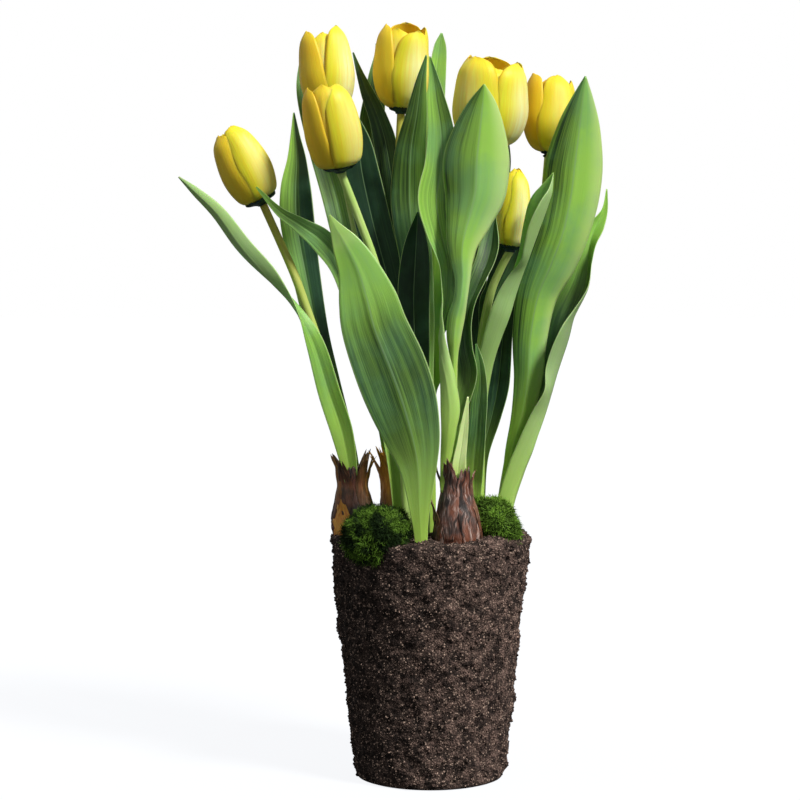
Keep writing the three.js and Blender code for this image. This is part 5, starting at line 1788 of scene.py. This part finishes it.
# A cushion: its levels and corners, how squarely it bulges, how far it lies inside
# the tufts, and its lumps. Tufts grow above the soil and outside the block's rim.
MOSS_LEVELS = 42
MOSS_SIDES = 72
MOSS_BULGE = 2.5
MOSS_TUFT_ROOM = 0.0012
MOSS_LUMP = 0.09
MOSS_LUMP_SCALE = 2.6
MOSS_SUNK = 0.002
MOSS_INSIDE_RIM = 0.006

# The block: levels up its side, rings under its foot and on its top, corners, and
# its clods, each with a size, a scale and a seed.
SOIL_LEVELS = 150
SOIL_FOOT_RINGS = 20
SOIL_TOP_RINGS = 52
SOIL_SIDES = 300
SOIL_CLODS = ((0.0016, 70.0, 3.0), (0.0013, 210.0, 7.0), (0.0008, 520.0, 11.0))
SOIL_BARE_FOOT = 0.002


def moss_body(name, moss):
    """The lumpy cushion under the tufts."""
    half = np.array(moss["half"])
    heights = np.sin(np.linspace(-1, 1, MOSS_LEVELS) * math.pi / 2)
    profile = [(max(0.0, 1 - abs(z) ** MOSS_BULGE) ** (1 / MOSS_BULGE), z) for z in heights]

    def lumpy(rings, _):
        """Swells the cushion unevenly and leans its crown."""
        x, y, z = rings[..., 0], rings[..., 1], rings[..., 2]
        broad = np.sin(5 * x + moss["turn"]) * np.sin(6 * y + 1) * np.sin(4 * z + 1)
        swell = 0.97 + 0.07 * broad + MOSS_LUMP * wrinkles(rings, MOSS_LUMP_SCALE, moss["turn"])
        rings = rings * swell[..., None]
        rings[..., 0] += moss["shear"] * rings[..., 2]
        return rings

    points, faces, shares = lathe_parts(profile, MOSS_SIDES, lumpy)
    points = points * (half - MOSS_TUFT_ROOM) + np.array(moss["centre"])
    piece = mesh_object(name, points, faces, {"skin": shares})
    above = points[:, 2] > SOIL_HEIGHT - MOSS_SUNK
    outside = np.hypot(points[:, 0], points[:, 1]) > SOIL_TOP_RADIUS - MOSS_INSIDE_RIM
    paint_points(piece, "grow", np.where(above | outside, 1.0, 0.0))
    return piece


def crumble(angle, height):
    """How far the side of the soil block bulges."""
    z = 1000 * height
    broad = np.sin(3 * angle + 0.045 * z) + np.sin(7 * angle - 0.07 * z + 1)
    fine = np.sin(13 * angle + 0.16 * z) + np.sin(17 * angle - 0.21 * z + 2)
    return SOIL_ROUGHNESS * (0.3 * broad + 0.35 * fine)


def soil_profile():
    """Radius and height round the section of the block, from its foot to its top centre."""
    low = SOIL_EDGE
    high = SOIL_HEIGHT - SOIL_EDGE
    foot = SOIL_FOOT_RADIUS - SOIL_EDGE
    crown = SOIL_TOP_RADIUS - SOIL_EDGE
    flare = SOIL_TOP_RADIUS - SOIL_FOOT_RADIUS
    under = [(foot * share, 0.0) for share in np.linspace(0, 1, SOIL_FOOT_RINGS)]
    edge = [(foot + 0.0018, 0.0006), (SOIL_FOOT_RADIUS - 0.0004, 0.0018)]
    side = [
        (SOIL_FOOT_RADIUS + flare * share, low + (high - low) * share)
        for share in np.linspace(0, 1, SOIL_LEVELS)
    ]
    rim = [(SOIL_TOP_RADIUS - 0.0004, SOIL_HEIGHT - 0.0014), (crown + 0.0014, SOIL_HEIGHT - 0.0004)]
    top = [(crown * share, SOIL_HEIGHT) for share in np.linspace(1, 0, SOIL_TOP_RINGS)]
    return under + edge + side + rim + top


def crumbled(rings, angle):
    """Roughens the side and the top of the block with clods of several sizes."""
    level = rings[..., 2]
    radius = np.hypot(rings[..., 0], rings[..., 1])
    clods = sum(size * wrinkles(rings, scale, seed) for size, scale, seed in SOIL_CLODS)
    off_foot = np.clip((level - 0.0004) / 0.004, 0, 1)
    on_side = np.clip((SOIL_HEIGHT - level) / SOIL_EDGE, 0, 1)
    side = (clods + crumble(angle, level)) * off_foot * on_side
    rings[..., :2] *= (1 + side / np.maximum(radius, 0.001))[..., None]
    on_top = (1 - on_side) * np.clip((SOIL_TOP_RADIUS - radius) / SOIL_EDGE, 0, 1)
    waves = np.sin(5 * angle + 200 * radius) * np.sin(130 * radius)
    heaps = np.zeros(level.shape)
    for x, y, wide, high in SOIL_HEAPS:
        heaps += high * np.exp(-((rings[..., 0] - x) ** 2 + (rings[..., 1] - y) ** 2) / wide**2)
    rings[..., 2] += on_top * (clods * 1.2 + SOIL_ROUGHNESS * waves + heaps)
    return rings


def soil_body():
    """The crumbling block itself, flat only where it stands."""
    points, faces, shares = lathe_parts(soil_profile(), SOIL_SIDES, crumbled)
    piece = mesh_object("soil_mass", points, faces, {"skin": shares})
    paint_points(piece, "grow", np.where(points[:, 2] < SOIL_BARE_FOOT, 0.0, 1.0))
    return piece


# ---- operators --------------------------------------------------------------


class TULIP_OT_stage(bpy.types.Operator):
    """Lay the pale floor and set up the soft studio light and the camera"""

    bl_idname = "tulip.stage"
    bl_label = "Stage"

    def execute(self, context):
        """Make the floor, the lights and the camera."""
        scene = context.scene
        scene.view_settings.view_transform = "Standard"
        scene.view_settings.look = "None"
        half = FLOOR_SIZE / 2
        corners = [(-half, -half, 0), (half, -half, 0), (half, half, 0), (-half, half, 0)]
        floor = mesh_object("studio_floor", corners, [(0, 1, 2, 3)], smooth=False)
        floor.data.materials.append(floor_finish())
        world = bpy.data.worlds.new("studio")
        world.use_nodes = True
        tree = world.node_tree
        tree.nodes.clear()
        end = tree.nodes.new("ShaderNodeOutputWorld")
        rays = tree.nodes.new("ShaderNodeLightPath")
        room = add_node(
            tree, "ShaderNodeBackground", {"Color": ROOM_TINT, "Strength": ROOM_STRENGTH},
        )
        white = add_node(tree, "ShaderNodeBackground", {"Color": (1, 1, 1), "Strength": 1.0})
        seen = tree.nodes.new("ShaderNodeMixShader")
        tree.links.new(rays.outputs["Is Camera Ray"], seen.inputs[0])
        tree.links.new(room.outputs[0], seen.inputs[1])
        tree.links.new(white.outputs[0], seen.inputs[2])
        tree.links.new(seen.outputs[0], end.inputs[0])
        scene.world = world
        light = bpy.data.lights.new("key", "SUN")
        light.energy = LAMP_STRENGTH
        light.angle = LAMP_WIDTH
        light.color = LAMP_TINT
        lamp = bpy.data.objects.new("key", light)
        lamp.rotation_euler = Vector(LAMP_FROM).to_track_quat("Z", "Y").to_euler()
        scene.collection.objects.link(lamp)
        lens = bpy.data.cameras.new("camera")
        lens.lens = CAMERA_LENS
        lens.sensor_width = CAMERA_SENSOR
        lens.clip_end = CAMERA_REACH
        camera = bpy.data.objects.new("camera", lens)
        camera.location = CAMERA_PLACE
        camera.rotation_euler = (math.pi / 2 - CAMERA_PITCH, 0, 0)
        scene.collection.objects.link(camera)
        scene.camera = camera
        return {"FINISHED"}


class TULIP_OT_leaves(bpy.types.Operator):
    """Grow the long channelled leaves"""

    bl_idname = "tulip.leaves"
    bl_label = "Leaves"

    def execute(self, context):
        """Make one blade for each leaf."""
        shared_groups()
        settings = context.scene.tulip_blades
        material = leaf_finish(settings)
        for name, leaf in LEAVES.items():
            make_blade(name, leaf, settings, material)
        return {"FINISHED"}


class TULIP_OT_stems(bpy.types.Operator):
    """Grow the slim stems"""

    bl_idname = "tulip.stems"
    bl_label = "Stems"

    def execute(self, context):
        """Make one stalk for each bloom."""
        shared_groups()
        settings = context.scene.tulip_blades
        material = stem_finish(settings)
        for name, route in STEMS.items():
            make_stem(name, route, settings, material)
        return {"FINISHED"}


class TULIP_OT_blooms(bpy.types.Operator):
    """Set the petals of every bloom on their dark cups"""

    bl_idname = "tulip.blooms"
    bl_label = "Blooms"

    def execute(self, context):
        """Make the petals and the cup of each bloom."""
        shared_groups()
        settings = context.scene.tulip_blooms
        petals = petal_finish(settings)
        cups = cup_finish(settings)
        for name, bloom in BLOOMS.items():
            make_bloom(name, bloom, settings, petals)
            make_cup(name, bloom, cups)
        return {"FINISHED"}


class TULIP_OT_bulbs(bpy.types.Operator):
    """Wrap the bulbs in their dry torn tunics"""

    bl_idname = "tulip.bulbs"
    bl_label = "Bulbs"

    def execute(self, context):
        """Make the body and the scales of each bulb."""
        shared_groups()
        settings = context.scene.tulip_ground
        material = tunic_finish(settings)
        for name, bulb in BULBS.items():
            make_bulb(name, bulb, material)
        return {"FINISHED"}


class TULIP_OT_moss(bpy.types.Operator):
    """Cover the two cushions with tufts of moss"""

    bl_idname = "tulip.moss"
    bl_label = "Moss"

    def execute(self, context):
        """Make each cushion and scatter its tufts."""
        shared_groups()
        settings = context.scene.tulip_ground
        under = moss_finish(settings, "moss_bed", 0.15)
        over = moss_finish(settings, "moss_tips", 0.8)
        tree = scatter_tree("moss_scatter", over)
        tuft = spike_piece(
            "tuft_pattern", spikes=5, length=0.006, width=0.00036, spread=1.0, droop=0.5, seed=4,
        )
        for seed, (name, moss) in enumerate(MOSSES.items(), start=11):
            body = moss_body(f"moss_bed_{name}", moss)
            tufts = scatter(
                f"moss_tufts_{name}", body, tree, tuft, settings.tuft_density, seed,
                smallest=0.45, largest=1.2, lean=0.5,
            )
            finished(tufts, "moss", over)
            finished(body, "moss", under, f"moss_{name}")
        discard(tuft)
        return {"FINISHED"}


class TULIP_OT_soil(bpy.types.Operator):
    """Build the bare block of soil and scatter its crumbs and dry flecks"""

    bl_idname = "tulip.soil"
    bl_label = "Soil"

    def execute(self, context):
        """Make the block, the crumbs and the flecks."""
        shared_groups()
        settings = context.scene.tulip_ground
        mass = soil_finish(settings, "soil_mass", 0.0)
        dark = soil_finish(settings, "soil_crumbs", 0.06)
        pale = soil_finish(settings, "soil_flecks", 0.55)
        body = soil_body()
        crumb = crumb_piece(settings.crumb_size)
        clod = crumb_piece(2.6 * settings.crumb_size)
        fleck = spike_piece(
            "fleck_pattern", spikes=1, length=0.002, width=0.00021, spread=1.2, droop=0.3, seed=9,
        )
        # Each kind: pattern, finish, share of the crumbs' density, seed, smallest and
        # largest size, and lean.
        for kind, pattern, finish, share, *measures in (
            ("crumb", crumb, dark, 1.0, 3, 0.5, 1.5, 3.1),
            ("clod", clod, dark, 0.06, 5, 0.4, 1.0, 3.1),
            ("fleck", fleck, pale, 0.65, 8, 0.35, 1.0, 1.4),
        ):
            tree = scatter_tree(f"{kind}_scatter", finish)
            density = share * settings.crumb_density
            pieces = scatter(f"soil_{kind}s", body, tree, pattern, density, *measures)
            finished(pieces, "soil", finish)
            discard(pattern)
        finished(body, "soil", mass, "soil_block")
        return {"FINISHED"}


class TULIP_PT_clump(bpy.types.Panel):
    """The steps that dress the clump, in order"""

    bl_idname = "TULIP_PT_clump"
    bl_label = "Tulip Clump"
    bl_space_type = "VIEW_3D"
    bl_region_type = "UI"
    bl_category = "Tulips"

    def draw(self, context):
        """List every step as a button."""
        column = self.layout.column()
        for step in STEPS:
            column.operator(f"tulip.{step}")


STEPS = ("stage", "soil", "moss", "bulbs", "leaves", "stems", "blooms")

CLASSES = (
    TulipBladeSettings,
    TulipBloomSettings,
    TulipGroundSettings,
    TULIP_OT_stage,
    TULIP_OT_soil,
    TULIP_OT_moss,
    TULIP_OT_bulbs,
    TULIP_OT_leaves,
    TULIP_OT_stems,
    TULIP_OT_blooms,
    TULIP_PT_clump,
)


def register():
    """Adds the settings, the operators and the panel."""
    for item in CLASSES:
        bpy.utils.register_class(item)
    bpy.types.Scene.tulip_blades = PointerProperty(type=TulipBladeSettings)
    bpy.types.Scene.tulip_blooms = PointerProperty(type=TulipBloomSettings)
    bpy.types.Scene.tulip_ground = PointerProperty(type=TulipGroundSettings)


def unregister():
    """Takes them away again."""
    del bpy.types.Scene.tulip_ground
    del bpy.types.Scene.tulip_blooms
    del bpy.types.Scene.tulip_blades
    for item in reversed(CLASSES):
        bpy.utils.unregister_class(item)


def main():
    """Dresses the whole clump."""
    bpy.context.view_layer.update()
    register()
    for step in STEPS:
        getattr(bpy.ops.tulip, step)()


if __name__ == "__main__":
    main()
